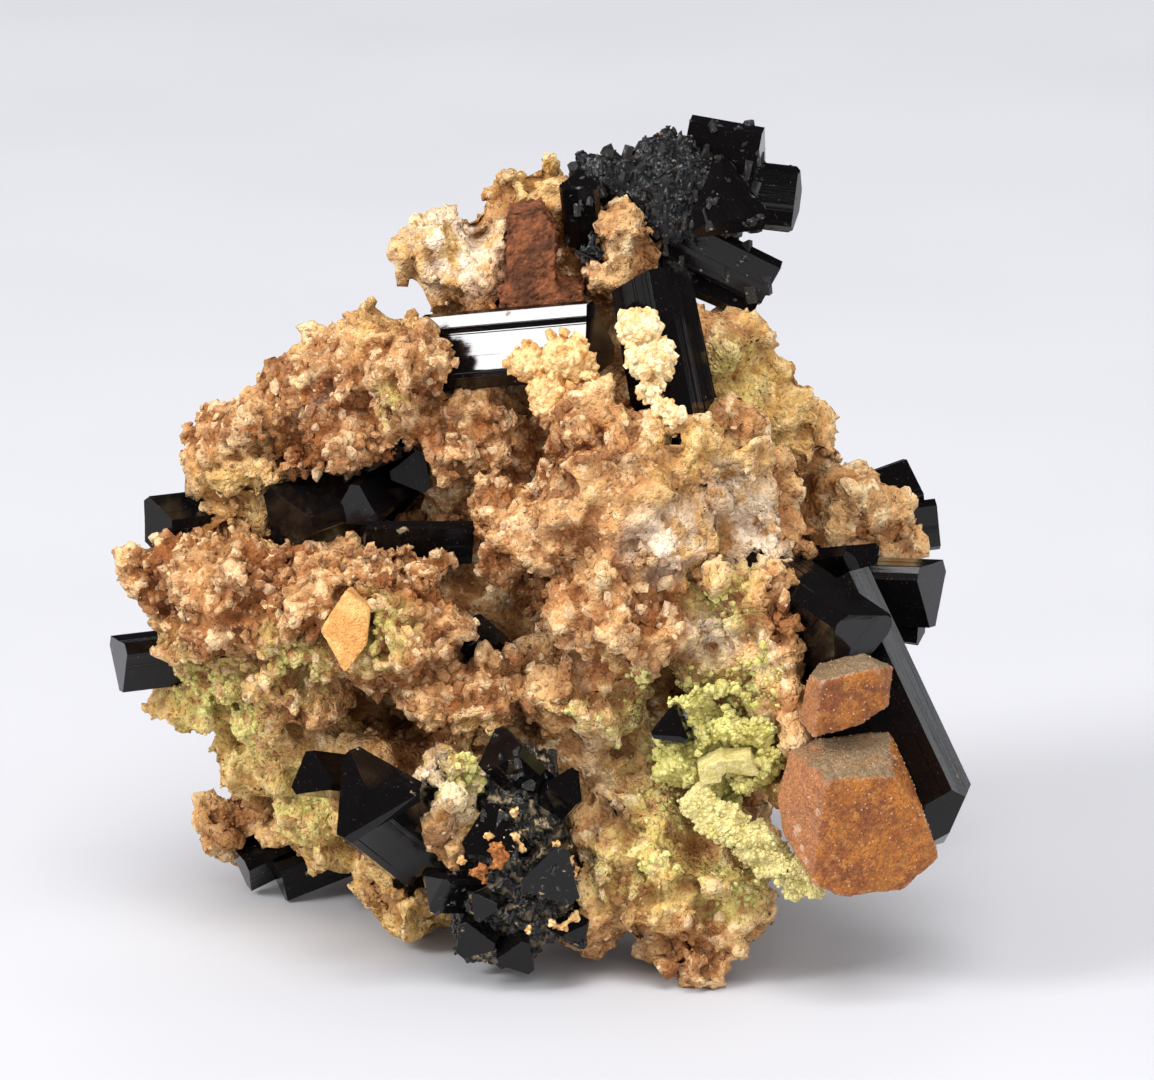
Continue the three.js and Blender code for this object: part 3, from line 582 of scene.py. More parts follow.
rock = copy_of("rock", "rock_surface")
apply_modifier(rock, "REMESH", mode="VOXEL", voxel_size=ROCK_VOXEL * MM, use_smooth_shade=True)
brownness = influence(points_of(rock), BROWN)
weights(rock, "coarse", 0.25 + 0.75 * brownness)
weights(rock, "fine", 1.0 - 0.6 * brownness)
flat_points = points_of(rock)
outwards = normals_of(rock)
displace(rock, boulders, -1.1, 0.45)
displace(rock, lumps, 1.2)
displace(rock, knots, -0.7, 0.45)
displace(rock, crumbs, -0.9, 0.4, "coarse")
displace(rock, fine_crumbs, 0.55, 0.4, "fine")
displace(rock, grit, 0.5)
keep_in_box(rock)
# The height moved is kept for painted shade in low spots and a painted highlight on raised ones.
raised = ((points_of(rock) - flat_points) * outwards).sum(axis=1)
print(f"relief from {raised.min():.2f} to {raised.max():.2f} mm, mean {raised.mean():.2f} mm")
rock.data.attributes.new("raised", "FLOAT", "POINT").data.foreach_set("value", raised - raised.mean())
apply_modifier(rock, "DECIMATE", ratio=min(1.0, MOST_TRIANGLES / (2 * len(rock.data.polygons))))
keep_in_box(rock)
only(rock)
bpy.ops.object.shade_smooth()
tint(rock)
rock.data.materials.append(rock_material)
settle(rock, "rock", "rock")

# %% [markdown]
# Loose grains make the rock look like rock. One grain is a small ball of few faces, knocked out of shape.
# A few of them are made and put in a collection, so that scattering can pick one at random.

# %% One grain
def knocked_ball(name, radius, seed, squash=(1, 1, 1), levels=1, jitter=0.28):
    """A small ball of few faces knocked out of shape. radius in millimetres."""
    bpy.ops.mesh.primitive_ico_sphere_add(subdivisions=levels, radius=radius * MM)
    ball = bpy.context.object
    ball.name = name
    rng = np.random.default_rng(seed)
    points = points_of(ball)
    points *= 1 + jitter * (rng.random((len(points), 1)) - 0.5) * 2
    set_points(ball, points * np.array(squash))
    return ball


def collect(name, pieces):
    """Puts pieces in a collection of their own that scattering picks from."""
    collection = bpy.data.collections.new(name)
    for piece in pieces:
        for home in list(piece.users_collection):
            home.objects.unlink(piece)
        collection.objects.link(piece)
    return collection


print("grain helpers ready")

# %% [markdown]
# A Geometry Nodes modifier scatters grains over a surface: points at a least distance from each other,
# and a grain of random size and turn on each. A particle system could do it too, but nodes can give each
# grain values of its own: a random shade and its place, so that the material can tell it from its
# neighbours. Realizing the copies makes them one ordinary mesh.

# %% Scattering
ANY_TURN = ((0, 0, 0), (math.tau, math.tau, math.tau))


def scatter_tree(name, grains, spacing, smallest, seed, turns):
    """A Geometry Nodes tree that puts grains on a surface and keeps only the grains."""
    tree = bpy.data.node_groups.new(name, "GeometryNodeTree")
    tree.interface.new_socket("Geometry", in_out="INPUT", socket_type="NodeSocketGeometry")
    tree.interface.new_socket("Geometry", in_out="OUTPUT", socket_type="NodeSocketGeometry")
    add, link = tree_nodes(tree)
    source, sink = add("NodeGroupInput"), add("NodeGroupOutput")
    where = add("GeometryNodeInputNamedAttribute", {"Name": "wanted"}, data_type="FLOAT")
    points = add("GeometryNodeDistributePointsOnFaces", {"Distance Min": spacing * MM,
                 "Density Max": 0.9 / (spacing * MM) ** 2, "Seed": seed}, distribute_method="POISSON")
    pick = add("GeometryNodeCollectionInfo", {"Collection": grains, "Separate Children": True,
               "Reset Children": True})
    place = add("GeometryNodeInstanceOnPoints", {"Pick Instance": True})
    turn = add("FunctionNodeRandomValue", {0: turns[0], 1: turns[1], "Seed": seed + 1},
               data_type="FLOAT_VECTOR")
    size = add("FunctionNodeRandomValue", {2: smallest, 3: 1.0, "Seed": seed + 2}, data_type="FLOAT")
    shade = add("FunctionNodeRandomValue", {2: 0.0, 3: 1.0, "Seed": seed + 3}, data_type="FLOAT")
    centre = add("GeometryNodeInputPosition")
    store_shade = add("GeometryNodeStoreNamedAttribute", {"Name": "shade"}, data_type="FLOAT",
                      domain="INSTANCE")
    store_centre = add("GeometryNodeStoreNamedAttribute", {"Name": "centre"}, data_type="FLOAT_VECTOR",
                       domain="INSTANCE")
    real = add("GeometryNodeRealizeInstances")
    link(source.outputs[0], points.inputs["Mesh"])
    link(where.outputs["Attribute"], points.inputs["Density Factor"])
    link(points.outputs["Points"], place.inputs["Points"])
    link(pick.outputs["Instances"], place.inputs["Instance"])
    link(turn.outputs["Value"], place.inputs["Rotation"])
    link(size.outputs[1], place.inputs["Scale"])
    link(place.outputs["Instances"], store_shade.inputs["Geometry"])
    link(shade.outputs[1], store_shade.inputs["Value"])
    link(store_shade.outputs["Geometry"], store_centre.inputs["Geometry"])
    link(centre.outputs["Position"], store_centre.inputs["Value"])
    link(store_centre.outputs["Geometry"], real.inputs["Geometry"])
    link(real.outputs["Geometry"], sink.inputs[0])
    return tree


def scatter(name, surface, weight_values, grains, spacing, smallest, seed, turns=ANY_TURN):
    """A piece made of grains scattered over a surface, more of them where weight_values is high."""
    carrier = surface.copy()
    carrier.data = surface.data.copy()
    carrier.parent = None
    for key in list(carrier.keys()):
        del carrier[key]
    bpy.context.scene.collection.objects.link(carrier)
    carrier.name = name
    carrier.data.name = name
    for layer in list(carrier.data.attributes):
        if layer.name in TINTS:
            carrier.data.attributes.remove(layer)
    layer = carrier.data.attributes.new("wanted", "FLOAT", "POINT")
    layer.data.foreach_set("value", weight_values)
    only(carrier)
    modifier = carrier.modifiers.new("scatter", "NODES")
    modifier.node_group = scatter_tree(name, grains, spacing, smallest, seed, turns)
    bpy.ops.object.modifier_apply(modifier=modifier.name)
    carrier.vertex_groups.clear()
    carrier.data.materials.clear()
    keep_in_box(carrier)
    return carrier


def grain_centres(obj):
    """The place of the grain that each vertex belongs to, in millimetres."""
    values = np.empty(len(obj.data.vertices) * 3)
    obj.data.attributes["centre"].data.foreach_get("vector", values)
    return values.reshape(-1, 3) / MM


print("scattering ready")

# %% [markdown]
# Coarse brown crumbs lie thick where the rock is brown and thin elsewhere. Pale grit lies everywhere. No
# grains lie at the foot, so that the feet stay flat on the table.

# %% Brown crumbs and pale grit
coarse_grains = collect("coarse_grains", [
    knocked_ball("grain_1", 0.62, 1, (1, 0.8, 0.62)),
    knocked_ball("grain_2", 0.5, 2, (1, 0.66, 0.8)),
    knocked_ball("grain_3", 0.75, 3, (0.8, 0.9, 0.5)),
    knocked_ball("grain_4", 0.42, 4, (1, 1, 0.8)),
    knocked_ball("grain_5", 0.34, 8, (1, 0.8, 0.7)),
])
fine_grains = collect("fine_grains", [
    knocked_ball("speck_1", 0.22, 5, (1, 0.8, 0.7)),
    knocked_ball("speck_2", 0.16, 6, (1, 0.9, 0.8)),
    knocked_ball("speck_3", 0.3, 7, (0.9, 0.7, 0.6)),
])

surface_points = points_of(rock)
brown_here = influence(surface_points, BROWN)
above_table = np.clip((surface_points[:, 2] - 0.6) / 0.6, 0, 1)
brown_crumbs = scatter("brown_crumbs", rock, np.clip(brown_here * 1.2 - 0.2, 0.03, 1) * above_table,
                       coarse_grains, 0.56, 0.35, 11)
tint(brown_crumbs, grain_centres(brown_crumbs))
brown_crumbs.data.materials.append(crumb_material)
settle(brown_crumbs, "rock")

pale_grit = scatter("pale_grit", rock, np.full(len(surface_points), 0.4) * above_table, fine_grains,
                    0.5, 0.3, 23)
tint(pale_grit, grain_centres(pale_grit))
pale_grit.data.materials.append(crumb_material)
settle(pale_grit, "rock")

# %% [markdown]
# A tourmaline prism has three wide and three narrow sides, fine lines along all of them, and at its end
# three faces that meet in a low point. In code that is one outline with small steps in it, extruded along
# the axis, narrowed a little, and cut by three sloping planes. Building the lines into the outline makes
# each side catch the light in stripes, as the real ones do.

# %% The outline of a prism
TRIGONAL = 0.2
SIXTH = math.pi / 3


def section_corners(across):
    """The six corners of the prism's section in millimetres."""
    def distance(k):
        return across / 2 * (1 + (TRIGONAL if k % 2 else -TRIGONAL))

    corners = []
    for k in range(6):
        a, b = k * SIXTH, (k + 1) * SIXTH
        near, following = distance(k), distance(k + 1)
        corners.append(Vector((
            (near * math.sin(b) - following * math.sin(a)) / math.sin(SIXTH),
            (following * math.cos(a) - near * math.cos(b)) / math.sin(SIXTH), 0)))
    return corners


def lined_outline(across, lines, depth, rng):
    """The section with steps in its sides: the points go round, each line a step in by up to depth."""
    corners = section_corners(across)
    outline = []
    for k in range(6):
        start, end = corners[k - 1], corners[k]
        along = end - start
        inward = Vector((-along.y, along.x, 0)).normalized()
        count = max(2, round(lines * along.length))
        cuts = np.sort(rng.random(count - 1)) * 0.92 + 0.04
        outline.append(start)
        for cut in cuts:
            for side in (-1, 1):
                step = depth * rng.random()
                outline.append(start + along * float(cut + side * 0.006) + inward * float(step))
    return outline


print("a prism of 4 mm with 1.6 lines in a millimetre has",
      len(lined_outline(4, 1.6, 0.035, np.random.default_rng(1))), "points around")

# %% [markdown]
# The outline becomes a crystal: a filled circle with the outline's points is extruded along the axis, its
# end is drawn in a little, and three sloping planes cut the end faces. A small flat value gives a low
# point, and a large one leaves nearly a whole flat end. A UV map keeps the direction of the axis for the
# material before the crystal is leant over to its place.

# %% A tourmaline crystal
END_SLOPE = 0.52
WHOLE_FACE = 3


def crystal(root, tip, across, roll=0, flat=0.4, slope=END_SLOPE, taper=1.0, lines=1.6, depth=0.035):
    """One crystal as an object, its place in its mesh. root, tip and widths are in millimetres."""
    root, tip = Vector(root), Vector(tip)
    length = (tip - root).length
    rng = np.random.default_rng(round(100 * across + 10 * length))
    outline = lined_outline(across, lines, depth, rng)
    bpy.ops.mesh.primitive_circle_add(vertices=len(outline), radius=across * MM, fill_type="NGON")
    prism = bpy.context.object
    set_points(prism, np.array(outline))
    edit(prism)
    bpy.ops.mesh.extrude_region_move(TRANSFORM_OT_translate={"value": (0, 0, length * MM)})
    bpy.ops.transform.resize(value=(taper, taper, 1), center_override=(0, 0, length * MM))
    for k in range(3):
        angle = 2 * k * SIXTH
        out = Vector((slope * math.cos(angle), slope * math.sin(angle), 1)).normalized()
        rim = flat * across / 2
        on_face = Vector((rim * math.cos(angle), rim * math.sin(angle), length)) * MM
        bpy.ops.mesh.select_all(action="SELECT")
        bpy.ops.mesh.bisect(plane_co=on_face, plane_no=out, use_fill=True, clear_outer=True)
    bpy.ops.mesh.select_all(action="SELECT")
    bpy.ops.mesh.normals_make_consistent(inside=False)
    leave_edit()
    map_along(prism)
    apply_modifier(prism, "BEVEL", width=0.04 * MM, segments=1, limit_method="ANGLE",
                   angle_limit=math.radians(24))
    turn = Vector((0, 0, 1)).rotation_difference((tip - root).normalized())
    turn = turn @ Quaternion((0, 0, 1), math.radians(roll))
    prism.data.transform(Matrix.Translation(root * MM) @ turn.to_matrix().to_4x4())
    return prism


def map_along(prism):
    """A UV map in millimetres: v runs along the axis, u runs round the sides or over an end face."""
    layer = prism.data.uv_layers.new(name="along")
    for face in prism.data.polygons:
        normal = face.normal
        side = Vector((-normal.y, normal.x, 0))
        side = side.normalized() if side.length > 0.01 else Vector((1, 0, 0))
        step = 7.3 * round(math.atan2(normal.y, normal.x) / SIXTH)
        on_end = abs(normal.z) > 0.5
        for loop in face.loop_indices:
            point = prism.data.vertices[prism.data.loops[loop].vertex_index].co / MM
            u = point.dot(side) + step + (100 if on_end else 0)
            v = point.z if not on_end else point.dot(normal.cross(side))
            layer.data[loop].uv = (u, v)


print("crystals can be made")

# %% [markdown]
# Black tourmaline is glassy and nearly black, with a trace of brown. Its lines run along the prism, so
# the material reads the UV map, where v is the length: noise squeezed hard across v gives long thin
# lines. Pale dust from the rock lies in patches. The plate prism reflects more, for its white face.

# %% Black tourmaline material
BLACK, BROWN_BLACK, DUST = linear(7, 7, 9), linear(17, 14, 13), linear(150, 132, 108)


def schorl_finish(name, roughness=0.05, line_depth=0.008, dust=0.03, ior=1.38):
    """Polished black with lines along it. dust is the share of the surface under dust."""
    black = Finish(name, Specular_IOR_Level=0.5, IOR=ior)
    uv = black.add("ShaderNodeUVMap", uv_map="along")
    squeeze = black.add("ShaderNodeMapping", {"Scale": (1.0, 0.035, 1.0)})
    lines = black.add("ShaderNodeTexNoise", {"Scale": 7.0, "Detail": 5.0, "Roughness": 0.7})
    broad = black.add("ShaderNodeTexNoise", {"Scale": 1.6, "Detail": 1.0, "Roughness": 0.5})
    black.link(uv.outputs["UV"], squeeze.inputs["Vector"])
    black.link(squeeze.outputs["Vector"], lines.inputs["Vector"])
    black.link(squeeze.outputs["Vector"], broad.inputs["Vector"])
    spots = black.patch(1.1, dust, 0.06, 6)
    specks = black.patch(0.12, dust * 0.5, 0.05, 2)
    pale = black.math("MAXIMUM", spots, black.math("MULTIPLY", specks, 0.3))
    color = black.mix(BLACK, BROWN_BLACK, lines.outputs["Fac"])
    color = black.mix(color, DUST, pale)
    rough = black.math("ADD", black.math("MULTIPLY", pale, 0.7), roughness)
    rough = black.math("ADD", rough, black.math("MULTIPLY", broad.outputs["Fac"], 0.06))
    normal = black.bump(lines.outputs["Fac"], line_depth, 0.6)
    normal = black.bump(broad.outputs["Fac"], line_depth * 2, 0.5, normal)
    return black.wear(color, rough, normal)


glassy = schorl_finish("black_tourmaline")
dusty = schorl_finish("dusty_tourmaline", roughness=0.14, dust=0.07, ior=1.3)
mirror = schorl_finish("bright_tourmaline", line_depth=0.01, ior=1.52)
print("black tourmaline materials ready")

# %% [markdown]
# Each row below is one crystal: where its root and its tip are, how wide it is, and how it is turned and
# ended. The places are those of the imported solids. Crystals that grew together are one piece.

# %% Crystals by node
CRYSTALS = {
    "upright_prism": [((8.7, -6.4, 28), (6.5, -0.4, 38.8), 4.4,
                       dict(flat=WHOLE_FACE, roll=-23, taper=0.93, lines=3.4, depth=0.03))],
    "plate_prism": [((-6.4, 2.4, 33.6), (3.3, -1.6, 35.4), 4.1,
                     dict(flat=WHOLE_FACE, roll=-20, lines=2.4, depth=0.06))],
    "valley_crystal": [((-8.6, 3.4, 25.6), (-14.6, -2.2, 24.8), 3.9, dict(flat=0.9, roll=24))],
    "valley_cluster": [
        ((-8.8, 3, 26), (-10.6, -2.4, 25.8), 2.4, dict(flat=1.6, roll=12)),
        ((-8, 4, 28), (-9.4, -1.2, 29), 2.5, dict(roll=40)),
        ((-7, 3.4, 27.2), (-7.3, -1.8, 27.8), 2.2, dict(flat=1.5, roll=5)),
        ((-8, 2.4, 26), (-7.4, 0.4, 30.4), 1.1, {})],
    "valley_prism": [((-4, -1.6, 23.8), (-10.2, -2.8, 24.1), 2.4, dict(flat=1.4, roll=30))],
    "left_pair": [
        ((-17.6, 4.4, 23.8), (-22.3, 0.2, 24.3), 2.6, dict(flat=1.4, roll=18)),
        ((-17.6, 4.4, 24.4), (-20.3, 1.6, 25.4), 1.6, dict(roll=35))],
    "left_prism": [((-15, 4.4, 16), (-24.6, 0.8, 15.8), 3.1, dict(flat=WHOLE_FACE, roll=26))],
    "back_left_cluster": [
        ((-12, 7, 4.2), (-17.8, 4.8, 1.9), 2.8, dict(flat=1.3, roll=10)),
        ((-10, 6, 3.2), (-15.6, 4, 1.5), 2.5, dict(flat=1.8, roll=33)),
        ((-13, 7.6, 4.2), (-18, 7.8, 2.6), 1.9, dict(roll=5))],
    "point_crystal": [((-5.6, -4, 5.6), (-9.8, -13.6, 12.4), 5.0, dict(flat=0, roll=46))],
    "side_crystal": [((-9.8, -4, 9.8), (-13, -9.8, 12), 2.4, dict(flat=1.6, roll=16))],
    "right_twins": [
        ((12, 2, 20.6), (18.8, -3.6, 22.8), 3.0, dict(roll=12)),
        ((12.6, 1.4, 20.4), (22.6, -3.4, 21.3), 3.7, dict(flat=0.8, roll=28)),
        ((14, 0.4, 18.8), (22, -3, 18.6), 1.3, dict(flat=1.6))],
    "right_crystals": [
        ((16.2, -4.6, 21.1), (22.6, -11.6, 8.6), 6.5, dict(flat=0.2, roll=-46, slope=0.9, depth=0.05)),
        ((12.9, -6, 22.6), (18, -11.6, 20.4), 4.4, dict(flat=0.7))],
    "back_right_crystals": [
        ((15.4, 10, 21.6), (22.2, 12.6, 23.4), 2.6, dict(flat=1.5, roll=10)),
        ((15.6, 11, 20.4), (23.6, 12, 21.2), 2.7, dict(flat=1.0, roll=34))],
    "pit_prism": [((2.4, -4.4, 17.4), (0.8, -5.4, 27), 2.6, dict(flat=1.6, roll=10))],
    "pit_crystal": [((-1.3, -5, 16.5), (-3.5, -7.8, 19.9), 2.4, dict(roll=30))],
    "pocket_crystal": [((8.4, -8, 14.6), (7.4, -12.4, 15.6), 1.9, dict(roll=12))],
    "back_prism": [((3, 9, 26), (-1.2, 17, 29), 3.6, dict(flat=WHOLE_FACE, roll=20))],
    "back_pair": [
        ((8, 9, 12), (12.2, 17, 13.6), 3.2, dict(flat=0.6, roll=10)),
        ((7, 9, 14), (8.4, 17.2, 17), 2.4, dict(flat=1.4, roll=44))],
    "back_point_crystal": [((-8, 9, 17), (-13.4, 16.6, 18.6), 3.4, dict(flat=0, roll=30))],
}
FACES = {"plate_prism": mirror, "valley_prism": dusty, "back_left_cluster": dusty, "right_twins": dusty,
         "left_pair": dusty, "pit_crystal": dusty}


def crystal_group(name, rows):
    """A piece of one or more crystals that grew together."""
    return join(name, [crystal(root, tip, across, **how) for root, tip, across, how in rows])


for node, rows in CRYSTALS.items():
    piece = crystal_group(node + "_glass", rows)
    piece.data.materials.append(FACES.get(node, glassy))
    settle(piece, "schorl", node)

# %% [markdown]
# Two of the black masses are splintery: bundles of needles broken across, with whole crystals that stand
# out of them. The whole crystals are rows like the ones above.

# %% Whole crystals of the splintery masses
TOP_CRYSTALS = [
    ((2.7, 5, 40), (2.3, 3.4, 43.8), 2.0, dict(flat=1.6, roll=20)),
    ((3.6, 4.6, 39), (2.9, 2.2, 40.2), 1.5, {}),
    ((8.6, 8.2, 44.6), (12.8, 7.4, 44), 3.7, dict(flat=1.8, roll=5)),
    ((8, 8, 42.6), (15.2, 8.8, 41.6), 3.4, dict(flat=0.2, roll=30)),
    ((10.4, 9, 41.8), (10.8, 2.4, 42.6), 4.2, dict(roll=40)),
    ((7.4, 5, 40.6), (13.4, 5.4, 37.5), 2.6, dict(flat=1.8, roll=40)),
    ((7.6, 6.4, 38.6), (12.8, 6.2, 36.4), 2.8, dict(flat=1.4, roll=10)),
]
LOWER_CRYSTALS = [
    ((0.9, -9.4, 10.4), (-2.2, -12.4, 14.4), 2.6, dict(flat=1.5, roll=22)),
    ((0.8, -8, 6.6), (0.8, -14.6, 7.4), 3.0, dict(flat=WHOLE_FACE, roll=14)),
    ((-2, -9.6, 5.2), (-6.1, -12.6, 6.2), 2.4, dict(roll=40)),
    ((-0.6, -9, 8.2), (-2.8, -13.4, 9.6), 3.0, dict(flat=1.0, roll=8)),
    ((0.2, -9.6, 3.6), (2.3, -12.6, 3.4), 1.7, dict(roll=25)),
    ((-2.6, -8.6, 4.2), (-3.8, -12.8, 3), 2.2, dict(flat=1.2, roll=35)),
    ((-1.4, -8.8, 3.4), (-1.2, -13.4, 2.2), 2.0, dict(flat=1.5, roll=12)),
    ((-1.6, -9.4, 5), (-3.2, -13.8, 5.4), 1.5, dict(flat=1.4, roll=50)),
    ((0.2, -9.4, 9.6), (1.6, -12.4, 12.2), 2.0, dict(flat=1.2, roll=15)),
]


print("crystals on the masses:", len(TOP_CRYSTALS), "and", len(LOWER_CRYSTALS))

# %% [markdown]
# A broken mass is duller than a whole face. Fine fibres run through it, its edges are a little paler, and
# pale specks and stains lie on it. At the front the stains also fill the cracks.

# %% Splintery material
SPLINTER_BLACK, SPLINTER_GREY = linear(7, 7, 9), linear(26, 27, 30)
PALE_EDGE, PALE_SPECK = linear(96, 94, 90), linear(158, 154, 144)
BROWN_STAIN, SANDY_STAIN = linear(150, 108, 62), linear(186, 164, 126)


def splintery_finish(name, stain, stain_color, cracks, roughness):
    black = Finish(name, Specular_IOR_Level=0.5)
    place = black.add("ShaderNodeTexCoord")
    stretch = black.add("ShaderNodeMapping", {"Rotation": (0.35, 0.5, 0.2), "Scale": (1.0, 1.0, 0.22)})
    fibres = black.add("ShaderNodeTexNoise", {"Scale": 3.6 / MM, "Detail": 4.0, "Roughness": 0.65})
    black.link(place.outputs["Object"], stretch.inputs["Vector"])
    black.link(stretch.outputs["Vector"], fibres.inputs["Vector"])
    stained = black.patch(0.9, stain, 0.1, 6)
    specks = black.patch(0.25, 0.2, 0.06, 3)
    edge = black.group(wear, {"Sharpness": 0.54})
    color = black.mix(SPLINTER_BLACK, SPLINTER_GREY, fibres.outputs["Fac"])
    color = black.mix(color, PALE_EDGE, black.math("MULTIPLY", edge.outputs["Edges"], 0.12))
    color = black.mix(color, PALE_SPECK, black.math("MULTIPLY", specks, 0.42))
    in_cracks = black.math("MULTIPLY", edge.outputs["Hollows"], cracks)
    stained = black.math("MAXIMUM", stained, in_cracks)
    color = black.mix(color, stain_color, stained)
    rough = black.math("ADD", black.math("MULTIPLY", stained, 0.4), roughness)
    normal = black.bump(fibres.outputs["Fac"], 0.14, 0.9)
    return black.wear(color, rough, normal)


top_finish = splintery_finish("splintery_summit", 0.08, BROWN_STAIN, 0.0, 0.36)
lower_finish = splintery_finish("splintery_front", 0.24, SANDY_STAIN, 0.5, 0.26)
print("splintery materials ready")

# %% [markdown]
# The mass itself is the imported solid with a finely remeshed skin, roughened with sharp creases. Chips and
# short leaning needles are scattered on it, which is quicker than modelling each splinter, and the whole
# crystals are set into it.

# %% Splintery masses
splinters = noise_texture("splinters", "VORONOI", 0.5, **CREASED)
splinter_lumps = noise_texture("splinter_lumps", "VORONOI", 1.5, **CREASED)


def needle(name, across, length):
    """A thin six-sided splinter that lies along Z."""
    bpy.ops.mesh.primitive_cylinder_add(vertices=6, radius=across / 2 * MM, depth=length * MM)
    splinter = bpy.context.object
    splinter.name = name
    edit(splinter)
    out = Vector((0.5, 0.2, 0.84)).normalized()
    near_end = (0, 0, length * 0.42 * MM)
    bpy.ops.mesh.bisect(plane_co=near_end, plane_no=out, use_fill=True, clear_outer=True)
    leave_edit()
    return splinter


needles = collect("needles", [needle("needle_1", 0.6, 1.5), needle("needle_2", 0.4, 1.2),
                              needle("needle_3", 0.9, 1.3)])
chips = collect("chips", [
    knocked_ball("chip_1", 0.42, 81, (1, 0.7, 0.4)),
    knocked_ball("chip_2", 0.32, 82, (1, 0.8, 0.5)),
    knocked_ball("chip_3", 0.24, 83, (1, 0.6, 0.6)),
])
MASS_VOXEL = 0.16
LEANING = ((-0.25, 0.0, 0.0), (0.45, 0.5, math.tau))


def splintery_mass(node, name, rows, material):
    """The rough core of a black mass with its whole crystals."""
    core = copy_of(node, name)
    apply_modifier(core, "REMESH", mode="VOXEL", voxel_size=MASS_VOXEL * MM, use_smooth_shade=True)
    displace(core, splinter_lumps, 1.0, 0.2)
    displace(core, splinters, 0.45, 0.5)
    keep_in_box(core)
    off_table = np.clip(points_of(core)[:, 2] - 2.4, 0, 1)
    covers = (("chips", chips, 0.42, ANY_TURN), ("needles", needles, 1.0, LEANING))
    for kind, grains, spacing, turns in covers:
        cover = scatter(f"{name}_{kind}", core, off_table, grains, spacing, 0.5, 91, turns)
        cover.data.materials.append(material)
        settle(cover, "broken_schorl")
    core.data.materials.append(material)
    settle(core, "broken_schorl", node)
    prisms = crystal_group(name + "_prisms", rows)
    prisms.data.materials.append(glassy)
    settle(prisms, "broken_schorl")


splintery_mass("top_cluster", "summit_mass", TOP_CRYSTALS, top_finish)
splintery_mass("lower_cluster", "front_mass", LOWER_CRYSTALS, lower_finish)

# %% [markdown]
# Two tourmalines are hidden under an orange skin of tiny grains, like coarse sugar. The colour also
# depends on which way a face looks: upper faces are grey-brown, partly the grey druse on top and partly a
# painted sheen from above, left faces are painted pinkish as if lit from the left, and the edges are pale,
# where the coat is thin. The material reads the surface's direction, so no face has to be coloured one by
# one.

# %% Orange material
AMBER, DEEP_AMBER, LIGHT_AMBER = linear(160, 96, 31), linear(122, 65, 26), linear(166, 106, 46)
# The pinkish colour is painted light on left faces; the grey-brown is partly grey druse and partly painted
# sheen on upper faces.
LIT_PINKISH, SHEEN_GREY_BROWN, THIN_COAT = linear(164, 110, 76), linear(120, 106, 82), linear(184, 146, 118)


def orange_finish(name):
    coat = Finish(name, Roughness=0.5, Specular_IOR_Level=0.5)
    place = coat.add("ShaderNodeNewGeometry")
    split = coat.add("ShaderNodeSeparateXYZ")
    coat.link(place.outputs["Normal"], split.inputs["Vector"])
    sheen_from_above = coat.add("ShaderNodeMapRange", {"From Min": 0.55, "From Max": 0.85})
    coat.link(split.outputs["Z"], sheen_from_above.inputs["Value"])
    edge = coat.group(wear, {"Sharpness": 0.515})
    broad = coat.patch(1.6, 0.5, 0.3, 5)
    grains = coat.group(grain, {"Size": 0.13, "Contrast": 0.6})
    lit_from_left = coat.add("ShaderNodeMapRange", {"From Min": -0.45, "From Max": -0.7})
    coat.link(split.outputs["X"], lit_from_left.inputs["Value"])
    color = coat.mix(AMBER, DEEP_AMBER, broad)
    color = coat.mix(color, LIGHT_AMBER, coat.patch(0.6, 0.28, 0.2, 3))
    # Painted light: faces that look left are made pinkish.
    color = coat.mix(color, LIT_PINKISH, coat.math("MULTIPLY", lit_from_left.outputs["Result"], 0.6))
    # Faces that look up turn grey-brown: partly the grey druse on top, partly painted sheen.
    color = coat.mix(color, SHEEN_GREY_BROWN, coat.math("MULTIPLY", sheen_from_above.outputs["Result"], 0.85))
    color = coat.mix(color, THIN_COAT, coat.math("MULTIPLY", edge.outputs["Edges"], 0.8))
    color = coat.scaled(color, grains.outputs["Shade"])
    normal = coat.bump(grains.outputs["Height"], 0.05, 0.8)
    return coat.wear(color, normal=normal)


orange_material = orange_finish("orange_coat")
print("orange material ready")

# %% [markdown]
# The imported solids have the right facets, so a copy of each is remeshed, which softens its edges, and the
# sugar grains are scattered on it.

# %% Orange crystals
COAT_VOXEL = 0.16
sugar_grains = collect("sugar_grains", [
    knocked_ball("sugar_1", 0.085, 31, (1, 0.9, 0.8), jitter=0.2),
    knocked_ball("sugar_2", 0.065, 32, (1, 1, 0.8), jitter=0.2),
])
coat_lumps = noise_texture("coat_lumps", "CLOUDS", 0.8, noise_depth=2)

for node in ("orange_crystal_large", "orange_crystal_small"):
    coat = copy_of(node, node + "_coat")
    apply_modifier(coat, "REMESH", mode="VOXEL", voxel_size=COAT_VOXEL * MM, use_smooth_shade=True)
    displace(coat, coat_lumps, 0.22, 0.6)
    keep_in_box(coat)
    coat.data.materials.append(orange_material)
    sparse = np.full(len(coat.data.vertices), 0.25)
    sugar = scatter(node + "_sugar", coat, sparse, sugar_grains, 0.2, 0.5, 41)
    sugar.data.materials.append(orange_material)
    settle(coat, "orange", node)
    settle(sugar, "orange")

# %% [markdown]
# The yellow-green crust lets a little light in, so it looks soft. Its knobs differ in tone, and the
# hollows between them are darkened to a deeper green as painted shade.

# %% Green material
# The deeper green is painted shade for the hollows between knobs.
PALE_KNOB, DEEP_GREEN_SHADE = linear(224, 216, 158), linear(160, 146, 72)


